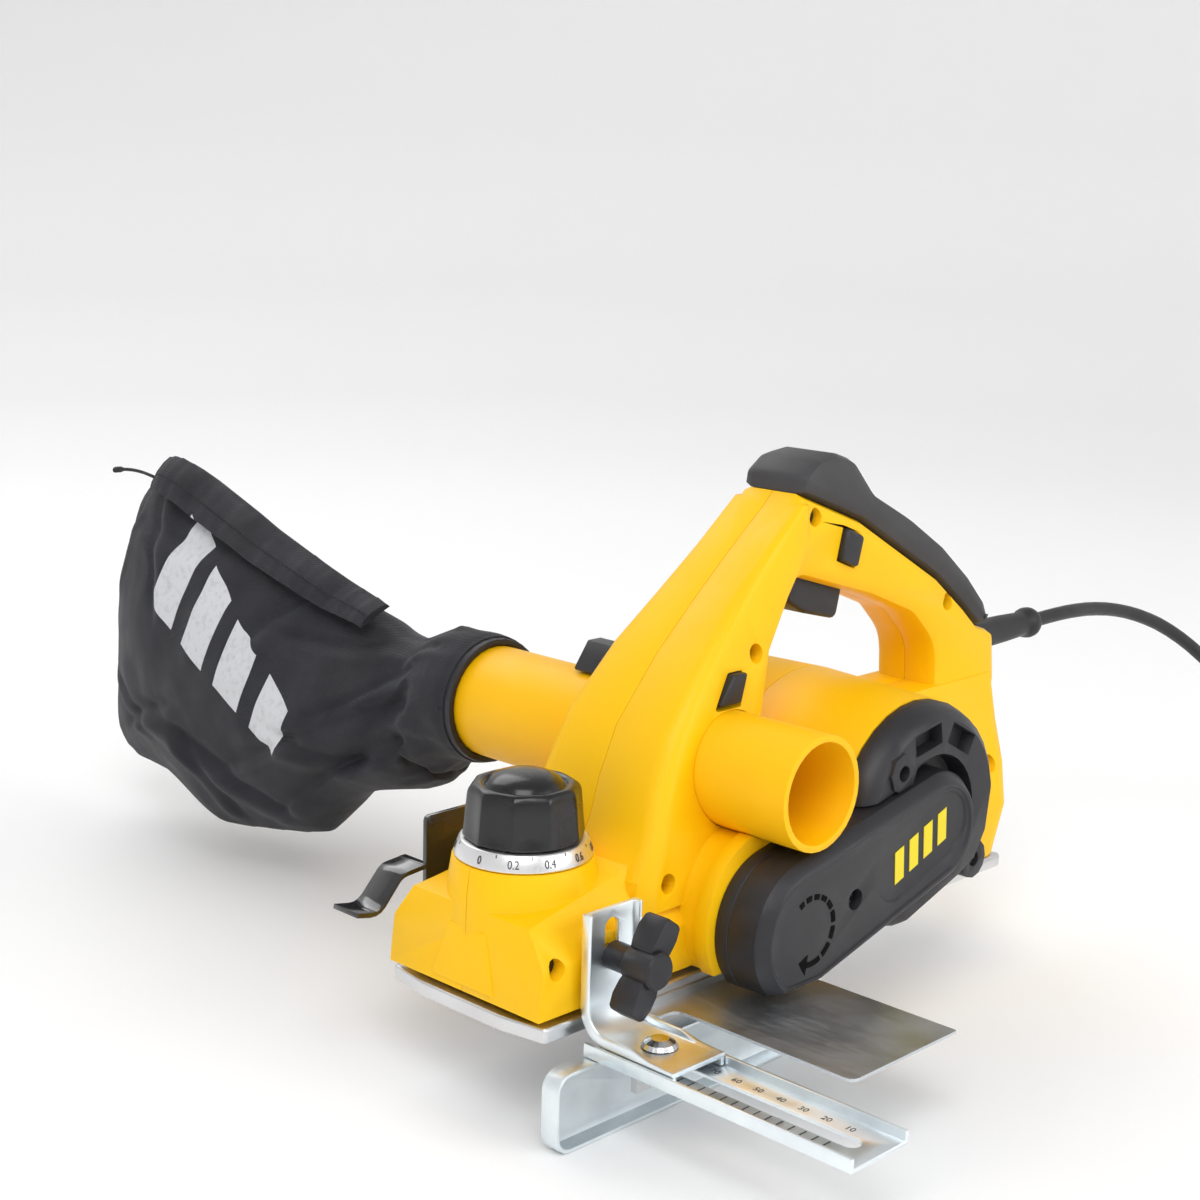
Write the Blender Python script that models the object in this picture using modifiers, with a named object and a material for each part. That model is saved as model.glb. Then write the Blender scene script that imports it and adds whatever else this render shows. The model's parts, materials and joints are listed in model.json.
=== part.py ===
"""Hand-held thickness planer with a parallel fence, a dust bag and a power cord.

Sizes are written in millimetres and become metres where a shape is made.
+X points to the rear, -X to the nose, -Y to the belt-cover side and +Z up.
The origin is on the underside of the rear sole, at the middle of its width.
"""
import math

import bmesh
import bpy
from mathutils import Matrix, Vector

MM = 0.001
GAP = 0.3                       # clearance between neighbouring pieces

# soles and cutter
SOLE_HALF = 42.0
SOLE_THICK = 6.0
SOLE_LIFT = 2.0                 # rise of the front sole at the deepest setting
SOLE_ROOM = 8.8                 # underside of the nose, clear of the lifted front sole
SOLE_FRONT, SOLE_REAR = -204.0, 87.0
MOUTH_FRONT, MOUTH_REAR = -112.0, -82.0
DRUM_X, DRUM_Z = -97.0, 27.0
CUT_R, CHAMBER_R = 26.6, 28.6
DRUM_HALF, CHAMBER_HALF = 40.4, 41.0

# depth setting
KNOB_X = -176.0
BOSS_TOP = 55.6
RING_R = 26.5
SPINDLE_R = 4.0

# chip duct across the machine
DUCT_X, DUCT_Z = -95.0, 79.8
DUCT_NEAR_R, DUCT_FAR_R, DUCT_BORE = 22.8, 24.4, 20.0
DUCT_NEAR, DUCT_FAR = -77.0, 118.0

# motor across the machine
MOTOR_X, MOTOR_Z = -12.0, 50.0
BARREL_R, BARREL_BORE = 49.0, 43.0
BARREL_NEAR, BARREL_FAR = -58.0, 50.0

# belt drive
COVER_BACK, COVER_FACE = -54.4, -78.0
NOSE = (-98.5, 25.4, 29.0)
TAIL = (-13.0, 47.5, 24.5)
DRUM_PULLEY_R, MOTOR_PULLEY_R = 17.0, 9.0

# closed handle
HANDLE_HALF = 17.0
SEAM = 0.15

# fence
FENCE_X = -175.0
STUD_Z = 28.5
BOLT_Y = -71.0
STOP_X = -150.0
LEAF_Y = -44.0
STRAP_HALF, STRAP_T = 13.6, 2.0
RAIL_HALF, RAIL_T = 15.5, 1.5
RAIL_OUT, RAIL_IN = -169.0, -48.0
RAIL_FLOOR = -6.0
RAIL_RIM = -0.8
BENCH_Z = -37.0                 # lowest edge of the fence, the level of the bench

# dust bag: collar, then sections that lean back towards the far end,
# each (y and z of its lowest point, y and z of its highest point, half thickness)
COLLAR_NEAR, COLLAR_FAR, COLLAR_R = 103.0, 121.0, 27.6
BAG_SECTIONS = [
    (121.3, 53.0, 121.3, 107.0, 26.5),
    (143.0, 34.0, 146.0, 107.5, 28.5),
    (165.0, 29.0, 161.0, 106.5, 30.5),
    (189.0, 24.0, 178.0, 111.0, 33.0),
    (207.0, 12.0, 196.0, 116.0, 35.0),
    (224.0, -3.0, 228.0, 125.0, 37.5),
    (262.0, -12.0, 262.0, 136.0, 39.0),
    (306.0, -18.0, 303.0, 151.0, 37.0),
    (345.0, -6.0, 333.0, 158.0, 31.0),
    (372.0, -2.0, 356.0, 154.0, 22.0),
    (396.0, 4.0, 370.0, 148.0, 12.0),
    (408.0, 14.0, 379.0, 138.0, 4.0),
]

# power cord
CORD_D = 7.0
RELIEF_Z = 96.5
COIL_X, COIL_Y = 292.0, -176.0
PLUG_X = 326.0
COIL_IN, COIL_OUT, COIL_TALL = 24.0, 47.0, 21.0
CORD_ROUTE = [
    (168.3, 0.0, 96.5), (186.0, 0.0, 96.8), (204.0, 0.3, 96.4), (224.0, 0.8, 94.8), (246.0, 0.6, 91.4),
    (268.0, -1.0, 85.8), (290.0, -4.5, 77.2), (310.0, -10.5, 65.0), (327.0, -19.0, 49.5),
    (340.0, -29.5, 31.5), (348.5, -41.5, 12.0), (352.0, -55.0, -7.0), (352.0, -70.0, -22.5),
    (349.0, -87.0, -31.0), (344.6, -105.0, -33.4), (340.4, -124.0, -33.4), (337.3, -142.0, -33.4),
    (336.6, -149.5, -33.4),
]

AXIS_TURN = {
    "X": (math.pi / 2, 0.0, math.pi / 2),
    "Y": (math.pi / 2, 0.0, 0.0),
    "Z": (0.0, 0.0, 0.0),
}
SPIN_TURN = {
    "X": (0.0, math.pi / 2, 0.0),
    "Y": (-math.pi / 2, 0.0, 0.0),
    "Z": (0.0, 0.0, 0.0),
}


# ------------------------------------------------------------------ scene

def clear():
    for ob in list(bpy.data.objects):
        bpy.data.objects.remove(ob, do_unlink=True)


def collection(name, hidden=False):
    group = bpy.data.collections.new(name)
    bpy.context.scene.collection.children.link(group)
    group.hide_render = hidden
    return group


def material(name, colour, metallic=0.0, roughness=0.5):
    mat = bpy.data.materials.new(name)
    mat.use_nodes = True
    shader = mat.node_tree.nodes["Principled BSDF"]
    shader.inputs["Base Color"].default_value = (*colour, 1.0)
    shader.inputs["Metallic"].default_value = metallic
    shader.inputs["Roughness"].default_value = roughness
    mat.diffuse_color = (*colour, 1.0)
    return mat


def put(name, data, mat, at=(0.0, 0.0, 0.0), turn=(0.0, 0.0, 0.0)):
    """Link a new object; a piece with no material is a cutter."""
    ob = bpy.data.objects.new(name, data)
    ob.location = Vector(at) * MM
    ob.rotation_euler = turn
    if mat is None:
        ob.hide_render = True
        ob.display_type = "WIRE"
        CUTTERS.objects.link(ob)
    else:
        data.materials.append(mat)
        PARTS.objects.link(ob)
    return ob


# ------------------------------------------------------------------ outlines

def area(points):
    total = 0.0
    for (x1, y1), (x2, y2) in zip(points, points[1:] + points[:1]):
        total += x1 * y2 - x2 * y1
    return total / 2


def rounded(corners, steps=4):
    """Closed outline through (u, v, radius) corners, each turned with an arc."""
    points = []
    count = len(corners)
    for i in range(count):
        before = Vector(corners[i - 1][:2])
        here = Vector(corners[i][:2])
        after = Vector(corners[(i + 1) % count][:2])
        radius = corners[i][2]
        if radius <= 0:
            points.append(tuple(here))
            continue
        d1 = (before - here).normalized()
        d2 = (after - here).normalized()
        half = math.acos(max(-1.0, min(1.0, d1.dot(d2)))) / 2
        back = min(radius / math.tan(half), 0.48 * (before - here).length, 0.48 * (after - here).length)
        radius = back * math.tan(half)
        centre = here + (d1 + d2).normalized() * (radius / math.sin(half))
        a = here + d1 * back - centre
        b = here + d2 * back - centre
        sweep = math.atan2(a.x * b.y - a.y * b.x, a.dot(b))
        for k in range(steps + 1):
            spoke = Matrix.Rotation(sweep * k / steps, 2) @ a
            points.append(tuple(centre + spoke))
    return points


def stadium(u, v, half_length, radius, angle=0.0, steps=8):
    """Slot outline: two half circles joined by straight sides."""
    points = []
    for side in (1, -1):
        for k in range(steps + 1):
            t = math.pi * k / steps - math.pi / 2
            points.append((side * (half_length + radius * math.cos(t)), side * radius * math.sin(t)))
    c, s = math.cos(angle), math.sin(angle)
    return [(u + x * c - y * s, v + x * s + y * c) for x, y in points]


def belt_loop(end1, end2, extra=0.0, steps=12):
    """Outline laid round two circles given as (u, v, radius)."""
    r1, r2 = end1[2] + extra, end2[2] + extra
    span = Vector((end2[0] - end1[0], end2[1] - end1[1]))
    base = math.atan2(span.y, span.x)
    lean = math.acos((r1 - r2) / span.length)
    points = []
    for k in range(steps + 1):
        t = base + lean + (2 * math.pi - 2 * lean) * k / steps
        points.append((end1[0] + r1 * math.cos(t), end1[1] + r1 * math.sin(t)))
    for k in range(steps + 1):
        t = base - lean + 2 * lean * k / steps
        points.append((end2[0] + r2 * math.cos(t), end2[1] + r2 * math.sin(t)))
    return points


# ------------------------------------------------------------------ solids

def bevel(ob, width, segments=2, angle=30.0):
    mod = ob.modifiers.new("soft_edges", "BEVEL")
    mod.width = width * MM
    mod.segments = segments
    mod.limit_method = "ANGLE"
    mod.angle_limit = math.radians(angle)
    mod.use_clamp_overlap = False
    return ob


def slab(name, outlines, axis, low, high, mat, soft=0.0, segments=2, pivot=(0.0, 0.0)):
    """Flat outline, with any further outlines as holes, extruded along an axis."""
    if isinstance(outlines[0][0], float) or isinstance(outlines[0][0], int):
        outlines = [outlines]
    curve = bpy.data.curves.new(name, "CURVE")
    curve.dimensions = "2D"
    curve.fill_mode = "BOTH"
    curve.extrude = ((high - low) / 2 - soft) * MM
    curve.bevel_depth = soft * MM
    curve.bevel_resolution = segments - 1
    curve.offset = -soft * MM
    for i, outline in enumerate(outlines):
        if (area(outline) > 0) == (i > 0):
            outline = outline[::-1]
        spline = curve.splines.new("POLY")
        spline.points.add(len(outline) - 1)
        spline.use_cyclic_u = True
        for point, (u, v) in zip(spline.points, outline):
            point.co = ((u - pivot[0]) * MM, (v - pivot[1]) * MM, 0.0, 1.0)
    mid = (low + high) / 2
    at = {"X": (mid, *pivot), "Y": (pivot[0], mid, pivot[1]), "Z": (*pivot, mid)}[axis]
    return solid_from_curve(put(name, curve, mat, at, AXIS_TURN[axis]), mat)


def solid_from_curve(source, mat):
    """Replace a curve object by a welded mesh object of the same name and place."""
    name = source.name
    at = source.location / MM
    turn = source.rotation_euler.copy()
    graph = bpy.context.evaluated_depsgraph_get()
    mesh = bpy.data.meshes.new_from_object(source.evaluated_get(graph))
    bpy.data.objects.remove(source, do_unlink=True)
    mesh.materials.clear()
    ob = put(name, mesh, mat, at, turn)
    weld(mesh)
    return ob


def weld(mesh):
    bm = bmesh.new()
    bm.from_mesh(mesh)
    bmesh.ops.remove_doubles(bm, verts=bm.verts, dist=0.00001)
    bmesh.ops.dissolve_degenerate(bm, edges=bm.edges, dist=0.00001)
    bmesh.ops.recalc_face_normals(bm, faces=bm.faces)
    bm.to_mesh(mesh)
    bm.free()


def bake(ob):
    """Apply the modifiers, weld the result and face it outwards."""
    graph = bpy.context.evaluated_depsgraph_get()
    mesh = bpy.data.meshes.new_from_object(ob.evaluated_get(graph))
    weld(mesh)
    old = ob.data
    ob.modifiers.clear()
    ob.data = mesh
    bpy.data.meshes.remove(old)
    mesh.name = ob.name
    return ob


def block(name, low, high, mat, soft=0.0, turn=(0.0, 0.0, 0.0), segments=2):
    """Box between two corners, turned about its own middle."""
    size = [b - a for a, b in zip(low, high)]
    middle = [(a + b) / 2 for a, b in zip(low, high)]
    bm = bmesh.new()
    bmesh.ops.create_cube(bm, size=1.0)
    bmesh.ops.scale(bm, vec=Vector(size) * MM, verts=bm.verts)
    mesh = bpy.data.meshes.new(name)
    bm.to_mesh(mesh)
    bm.free()
    ob = put(name, mesh, mat, middle, turn)
    if soft > 0:
        bake(bevel(ob, soft, segments))
    return ob


def turned(name, axis, at, profile, mat, sides=32):
    """Spin (radius, height) points round an axis through a point; heights are from that point."""
    order = list(profile)
    if area(order) > 0:
        order.reverse()
    bm = bmesh.new()
    verts = [bm.verts.new((r * MM, 0.0, h * MM)) for r, h in order]
    for a, b in zip(verts, verts[1:]):
        bm.edges.new((a, b))
    if order[0][0] > 0:
        bm.edges.new((verts[-1], verts[0]))
    mesh = bpy.data.meshes.new(name)
    bm.to_mesh(mesh)
    bm.free()
    ob = put(name, mesh, mat, at, SPIN_TURN[axis])
    screw = ob.modifiers.new("spin", "SCREW")
    screw.steps = sides
    screw.render_steps = sides
    screw.use_merge_vertices = True
    screw.merge_threshold = 0.00001
    return bake(ob)


def rod(name, axis, at, radius, low, high, mat, sides=24, soft=0.0):
    """Round bar; low and high run along the axis from the point."""
    profile = [(0, high), (radius, high), (radius, low), (0, low)]
    if soft > 0:
        profile = [(0, high), (radius - soft, high), (radius, high - soft),
                   (radius, low + soft), (radius - soft, low), (0, low)]
    return turned(name, axis, at, profile, mat, sides)


def ring(name, axis, at, inner, outer, low, high, mat, sides=24):
    profile = [(inner, high), (outer, high), (outer, low), (inner, low)]
    return turned(name, axis, at, profile, mat, sides)


def loft(name, rows, mat):
    """Skin between unlike closed sections, all with the same number of points."""
    bm = bmesh.new()
    grid = [[bm.verts.new(Vector(p) * MM) for p in row] for row in rows]
    count = len(grid[0])
    for a, b in zip(grid, grid[1:]):
        for i in range(count):
            j = (i + 1) % count
            bm.faces.new((a[i], a[j], b[j], b[i]))
    bm.faces.new(list(reversed(grid[0])))
    bm.faces.new(grid[-1])
    bmesh.ops.recalc_face_normals(bm, faces=bm.faces)
    mesh = bpy.data.meshes.new(name)
    bm.to_mesh(mesh)
    bm.free()
    return put(name, mesh, mat)


def section(z, front, rear, half, radius, steps=3):
    """Level section of the body: a rectangle with rounded corners."""
    corners = [(front, -half, radius), (rear, -half, radius), (rear, half, radius), (front, half, radius)]
    return [(x, y, z) for x, y in rounded(corners, steps)]


def combine(ob, kind, tools):
    for tool in tools:
        mod = ob.modifiers.new(kind.lower(), "BOOLEAN")
        mod.operation = kind
        mod.solver = "EXACT"
        mod.object = tool
        bake(ob)
        bpy.data.objects.remove(tool, do_unlink=True)
    return ob


def cut(ob, *tools):
    return combine(ob, "DIFFERENCE", tools)


def join(ob, *tools):
    return combine(ob, "UNION", tools)


def keep(ob, *tools):
    return combine(ob, "INTERSECT", tools)


def shade(angle=35.0):
    for ob in PARTS.objects:
        if ob.type == "MESH":
            ob.data.shade_smooth()
            ob.data.set_sharp_from_angle(angle=math.radians(angle))


# ------------------------------------------------------------------ housing

SCREWS = {
    "front_low": (-197.5, 26.5, -41.0),
    "front_high": (-137.0, 44.0, -34.0),
    "tower": (-76.0, 122.0, -26.0),
    "grip_front": (-30.0, 170.5, -18.5),
    "grip_rear": (69.0, 122.0, -17.0),
    "rear": (86.0, 47.0, -34.0),
}

GRIP_EDGE = [(-37.5, 180.6), (4.0, 165.5), (31.0, 151.0), (61.0, 134.5), (84.0, 117.5), (96.0, 107.5)]


def handle_loop(mat):
    """Closed handle with its hand opening, seen from the side."""
    top = [(x, z - GAP, 0.0) for x, z in GRIP_EDGE]
    outer = top + [(109.5, 102.5, 5.0), (112.5, 80.0, 10.0), (105.0, 30.0, 12.0), (88.0, 7.0, 3.0),
                   (-84.0, 7.0, 0.0), (-84.0, 90.0, 0.0), (-100.0, 118.0, 0.0)]
    hand = [(-68.0, 82.0, 0.0), (-61.0, 108.0, 20.0), (-46.5, 138.0, 10.0), (-38.0, 146.5, 8.0),
            (13.0, 131.5, 30.0), (44.0, 119.5, 20.0), (61.5, 103.0, 20.0), (63.0, 82.0, 0.0)]
    return slab("handle_loop", [rounded(outer, 3), rounded(hand, 3)], "Y", -HANDLE_HALF, HANDLE_HALF, mat, 5.0, 2)


def front_block(mat):
    """Nose of the body: a wedge with sloping shoulders and a cone under the knob."""
    side = [(-206.5, SOLE_ROOM), (-203.0, 40.5), (-155.0, 49.0), (-112.0, 60.0), (-100.0, 60.0),
            (-100.0, SOLE_ROOM)]
    nose = slab("nose", side, "Y", -60.0, 60.0, mat)
    face = rounded([(-41.0, 5.0, 0.0), (41.0, 5.0, 0.0), (41.0, 27.0, 3.0), (30.5, 42.0, 3.0),
                    (24.0, 62.0, 0.0), (-24.0, 62.0, 0.0), (-30.5, 42.0, 3.0), (-41.0, 27.0, 3.0)], 2)
    keep(nose, slab("nose_section", face, "X", -220.0, -90.0, None))
    cone = [(0, BOSS_TOP), (27.0, BOSS_TOP), (28.5, 46.0), (29.0, 30.0), (0, 30.0)]
    cone = [(r, h - 30.0) for r, h in cone]
    near_boss = rod("near_boss", "Y", (FENCE_X, 0, STUD_Z), 8.0, LEAF_Y + GAP, -30.0, None, 24)
    far_boss = rod("far_boss", "Y", (STOP_X, 0, STUD_Z), 8.0, 30.0, -LEAF_Y - GAP, None, 24)
    return join(nose, turned("knob_cone", "Z", (KNOB_X, 0, 30.0), cone, None, 32), near_boss, far_boss)


def tower(mat):
    """Sloping front leg, narrow at the grip and wide over the chip duct."""
    levels = [
        (34.0, -151.0, -50.0, 39.0, 8.0),
        (46.0, -151.0, -50.0, 38.5, 8.0),
        (62.0, -141.0, -56.0, 35.5, 8.0),
        (78.0, -136.0, -68.0, 33.0, 8.0),
        (97.0, -127.0, -72.0, 31.0, 8.0),
        (122.0, -105.0, -64.0, 26.5, 6.0),
        (141.0, -84.0, -48.5, 22.5, 6.0),
        (158.0, -64.0, -34.0, 20.2, 6.0),
        (176.5, -41.0, -35.0, 18.6, 3.0),
    ]
    return loft("tower", [section(*level) for level in levels], mat)


def rear_body(mat):
    levels = [
        (6.6, -100.0, 87.0, 41.0, 10.0),
        (28.0, -100.0, 98.5, 40.0, 12.0),
        (46.0, -90.0, 104.5, 34.0, 13.0),
        (64.0, -80.0, 108.0, 26.0, 12.0),
        (84.0, -70.0, 110.0, 17.5, 6.0),
    ]
    return loft("rear_body", [section(*level) for level in levels], mat)


def transverse_shells(mat):
    """Motor barrel and drum bulge, both across the machine and flat underneath."""
    barrel = turned("barrel", "Y", (MOTOR_X, 0, MOTOR_Z),
                    [(0, BARREL_FAR), (BARREL_R - 4, BARREL_FAR), (BARREL_R + 1.5, BARREL_FAR - 6),
                     (BARREL_R + 2.5, 0), (BARREL_R, BARREL_NEAR), (0, BARREL_NEAR)], mat, 40)
    cut(barrel, barrel_trim())
    bulge = rod("bulge", "Y", (DRUM_X, 0, DRUM_Z), 33.0, COVER_BACK + GAP, 48.5, None, 32)
    rim = rod("bulge_rim", "Y", (DRUM_X, 0, DRUM_Z), 35.0, COVER_BACK + GAP, -48.0, None, 32)
    join(barrel, bulge, rim)
    floor = block("floor_cut", (-160, -90, -30), (60, 90, 6.6), None)
    lift = block("lift_cut", (-160, -90, -30), (DRUM_X, 90, SOLE_ROOM), None)
    return cut(barrel, floor, lift)


def barrel_trim():
    """Takes off the rear and lower side of the motor end, beside the belt cover."""
    return slab("barrel_trim", [(-50.0, -2.0), (13.0, 19.5), (25.0, 24.0), (31.0, 32.0), (31.0, 110.0),
                                (80.0, 110.0), (80.0, -30.0), (-50.0, -30.0)], "Y", -100.0, -42.5, None)


def chip_passage():
    """Room for the duct and for the chute that rises into it from the drum."""
    near = rod("duct_room_near", "Y", (DUCT_X, 0, DUCT_Z), DUCT_NEAR_R + GAP, -90.0, 0.0, None, 32)
    far = rod("duct_room_far", "Y", (DUCT_X, 0, DUCT_Z), DUCT_FAR_R + GAP, -0.5, 90.0, None, 32)
    chute = block("chute", (-112.0, -26.0, 40.0), (-88.0, 26.0, 72.0), None)
    return near, far, chute


def selector_room():
    return slab("selector_room", rounded([(-103.9, 103.1, 1.0), (-88.1, 103.1, 1.0), (-85.0, 117.0, 1.0),
                                          (-93.9, 117.0, 1.0)], 2), "Y", -50.0, 60.0, None)


def inner_rooms():
    """Hollows inside the two shells."""
    chamber = rod("chamber", "Y", (DRUM_X, 0, DRUM_Z), CHAMBER_R, -CHAMBER_HALF, CHAMBER_HALF, None, 28)
    bearings = rod("bearing_bore", "Y", (DRUM_X, 0, DRUM_Z), 14.3, -70.0, 46.0, None, 20)
    motor = turned("motor_room", "Y", (MOTOR_X, 0, MOTOR_Z),
                   [(0, 42.0), (BARREL_BORE, 42.0), (BARREL_BORE, -41.0), (24.0, -41.0), (24.0, -70.0),
                    (0, -70.0)], None, 28)
    pocket = rod("motor_bearing_room", "Y", (MOTOR_X, 0, MOTOR_Z), 9.8, 40.0, 47.0, None, 16)
    nose = slab("nose_room", [(-201.5, 0.0), (-199.0, 34.0), (-130.5, 42.0), (-130.5, 0.0)],
                "Y", -32.5, 32.5, None)
    spindle = rod("spindle_room", "Z", (KNOB_X, 0, 0), SPINDLE_R + GAP, 20.0, 70.0, None, 12)
    switch = slab("switch_room", rounded([(-36.5, 147.8, 1.5), (-31.0, 169.5, 1.5), (11.5, 152.5, 1.5),
                                          (2.5, 135.0, 1.5)], 2), "Y", -10.8, 10.8, None)
    trigger = slab("trigger_slot", [(-35.0, 130.0), (-35.0, 150.0), (-5.0, 147.5), (4.5, 143.5), (3.4, 120.0)],
                   "Y", -7.8, 7.8, None)
    button = slab("button_room", BUTTON_ROOM, "Y", -30.0, -7.0, None)
    stud = rod("stud_hole", "Y", (FENCE_X, 0, STUD_Z), 3.5, -60.0, -30.0, None, 12)
    stop = rod("stop_hole", "Y", (STOP_X, 0, STUD_Z), 3.5, 30.0, 60.0, None, 12)
    tail = slab("tail_room", rounded([(46.0, 11.0, 3.0), (86.0, 11.0, 5.0), (98.0, 40.0, 8.0), (103.5, 76.0, 8.0),
                                      (74.0, 90.0, 6.0), (50.0, 74.0, 5.0)], 2), "Y", -13.5, 13.5, None)
    skirt = slab("skirt_room", [(45.0, 10.0), (84.0, 10.0), (91.0, 30.0), (45.0, 30.0)], "Y", -36.0, 36.0, None)
    relief = rod("relief_room", "X", (0, 0, RELIEF_Z), 5.4, 99.0, 130.0, None, 16)
    root = rod("relief_root_room", "X", (0, 0, RELIEF_Z), 8.0, 98.0, 104.5, None, 16)
    return [chamber, bearings, motor, pocket, nose, spindle, switch, trigger, button, stud, stop,
            tail, skirt, relief, root]


BUTTON = [(-14.0, 151.0), (-10.5, 164.5), (1.0, 159.5), (-2.5, 146.5)]
BUTTON_ROOM = [(-14.6, 150.6), (-10.9, 165.3), (1.7, 159.9), (-2.1, 145.8)]


def screw_room(x, z, y):
    """Stepped hole: counterbore for the head, then the shank across the seam."""
    return turned("screw_room", "Y", (x, 0, z),
                  [(0, 13.0), (2.0, 13.0), (2.0, y + 8.3), (4.0, y + 8.3), (4.0, y - 12.0), (0, y - 12.0)],
                  None, 12)


def housing(mat):
    """One outer form, parted along the middle plane and then hollowed."""
    near = handle_loop(mat)
    join(near, tower(None), rear_body(None), front_block(None), transverse_shells(None))
    near.name = "housing_near"
    far = put("housing_far", near.data.copy(), mat, near.location / MM, near.rotation_euler.copy())
    keep(near, block("near_half", (-300, -150, -50), (300, -SEAM, 300), None))
    keep(far, block("far_half", (-300, SEAM, -50), (300, 150, 300), None))
    for shell in (near, far):
        cut(shell, *chip_passage(), selector_room(), *inner_rooms())
        for x, z, y in SCREWS.values():
            cut(shell, screw_room(x, z, y))


def chip_duct(mat):
    """Open tube across the machine, wider on the bag side, with a mouth over the chute."""
    profile = [(DUCT_BORE, DUCT_NEAR), (DUCT_NEAR_R, DUCT_NEAR), (DUCT_NEAR_R, -0.2), (DUCT_FAR_R, 0.2),
               (DUCT_FAR_R, DUCT_FAR), (DUCT_BORE, DUCT_FAR)]
    duct = turned("chip_duct", "Y", (DUCT_X, 0, DUCT_Z), profile, mat, 32)
    return cut(duct, block("duct_mouth", (-108.0, -24.0, 48.0), (-92.0, 24.0, 66.0), None))


def housing_screws(mat):
    for key, (x, z, y) in SCREWS.items():
        seat = y + 8.0
        turned("screw_" + key, "Y", (x, 0, z),
               [(0, 12.0), (1.7, 12.0), (1.7, seat), (3.6, seat), (3.6, seat - 2.4), (2.8, seat - 3.0),
                (0, seat - 3.0)], mat, 12)


# ------------------------------------------------------------------ soles and depth setting

def sole(name, front, rear, mat, nose=False):
    """Flat shoe whose mouth edge follows the cutter."""
    corner = 2.0
    outline = [(front, -SOLE_HALF, corner), (rear, -SOLE_HALF, corner),
               (rear, SOLE_HALF, corner), (front, SOLE_HALF, corner)]
    if nose:
        outline.append((front - 3.5, 22.0, 30.0))
        outline.append((front - 3.5, -22.0, 30.0))
    shoe = slab(name, rounded(outline, 3), "Z", 0.0, SOLE_THICK, mat, 0.7, 1)
    cut(shoe, rod("mouth_cut", "Y", (DRUM_X, 0, DRUM_Z), CUT_R + 1.0, -60.0, 60.0, None, 48))
    if nose:
        cut(shoe, rod("lifted_cut", "Y", (DRUM_X, 0, DRUM_Z - SOLE_LIFT), CUT_R + 1.0, -60.0, 60.0, None, 48))
    return shoe


def soles(metal):
    sole("sole_front", SOLE_FRONT, MOUTH_FRONT + 6.0, metal, nose=True)
    sole("sole_rear", MOUTH_REAR - 4.0, SOLE_REAR, metal)


def depth_setting(silver, black, steel):
    turned("depth_scale_ring", "Z", (KNOB_X, 0, BOSS_TOP + GAP),
           [(6.0, 6.6), (24.0, 6.6), (24.6, 6.0), (RING_R, 0.6), (RING_R - 0.4, 0.0), (6.0, 0.0)], silver, 36)
    base = BOSS_TOP + 6.6 + 2 * GAP
    cap = turned("depth_knob", "Z", (KNOB_X, 0, base),
                 [(0, 25.0), (9.0, 24.4), (15.0, 22.6), (16.5, 20.4), (20.4, 19.6), (21.2, 18.6),
                  (23.3, 0.0), (0, 0.0)], black, 30)
    for i in range(10):
        t = 2 * math.pi * (i + 0.5) / 10
        lean = rod("knob_flute", "Z", (KNOB_X + 28.2 * math.cos(t), 28.2 * math.sin(t), base + 1.5),
                   6.4, 0.0, 30.0, None, 10)
        lean.rotation_euler = (math.radians(-4) * math.sin(t), math.radians(4) * math.cos(t), 0.0)
        cut(cap, lean)
    cut(cap, rod("spindle_seat", "Z", (KNOB_X, 0, base), SPINDLE_R + GAP, -5.0, 10.5, None, 12))
    turned("depth_spindle", "Z", (KNOB_X, 0, 0),
           [(0, base + 7.5), (SPINDLE_R, base + 7.5), (SPINDLE_R, 16.0), (9.0, 16.0),
            (9.0, SOLE_THICK + GAP), (0, SOLE_THICK + GAP)], steel, 12)


# ------------------------------------------------------------------ cutter and drive

def cutter(drum_metal, blade_metal, steel):
    at = (DRUM_X, 0, DRUM_Z)
    drum = turned("cutter_drum", "Y", at,
                  [(0, 46.0), (6.0, 46.0), (6.0, DRUM_HALF), (CUT_R - 0.8, DRUM_HALF),
                   (CUT_R - 0.8, -DRUM_HALF), (6.0, -DRUM_HALF), (6.0, -74.0), (0, -74.0)], drum_metal, 28)
    for i in range(2):
        angle = math.pi * i + math.radians(35)
        radial = Vector((math.cos(angle), 0.0, math.sin(angle)))
        mid = Vector(at) + radial * (CUT_R - 5.0)
        slot = block("blade_slot", (-7.0, -60.0, -0.9), (7.0, 60.0, 0.9), None, turn=(0.0, -angle, 0.0))
        slot.location = mid * MM
        cut(drum, slot)
        blade = block("blade_" + "ab"[i], (-5.4, -DRUM_HALF, -0.55), (5.4, DRUM_HALF, 0.55), blade_metal,
                      turn=(0.0, -angle, 0.0))
        blade.location = (Vector(at) + radial * (CUT_R - 5.6)) * MM
    ring("drum_bearing_near", "Y", at, 6.0 + GAP, 14.0, -52.0, -45.0, steel, 16)
    ring("drum_bearing_far", "Y", at, 6.0 + GAP, 14.0, 41.5, 45.7, steel, 16)


def belt_drive(black, rubber, steel):
    drum_at = (DRUM_X, 0, DRUM_Z)
    motor_at = (MOTOR_X, 0, MOTOR_Z)
    ring("drum_pulley", "Y", drum_at, 6.0 + GAP, DRUM_PULLEY_R, -72.5, -62.5, black, 24)
    ring("motor_pulley", "Y", motor_at, 4.0 + GAP, MOTOR_PULLEY_R, -72.5, -62.5, steel, 16)
    end1 = (DRUM_X, DRUM_Z, DRUM_PULLEY_R)
    end2 = (MOTOR_X, MOTOR_Z, MOTOR_PULLEY_R)
    slab("drive_belt", [belt_loop(end1, end2, 2.6), belt_loop(end1, end2, GAP)], "Y", -72.0, -63.0, rubber)


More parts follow.
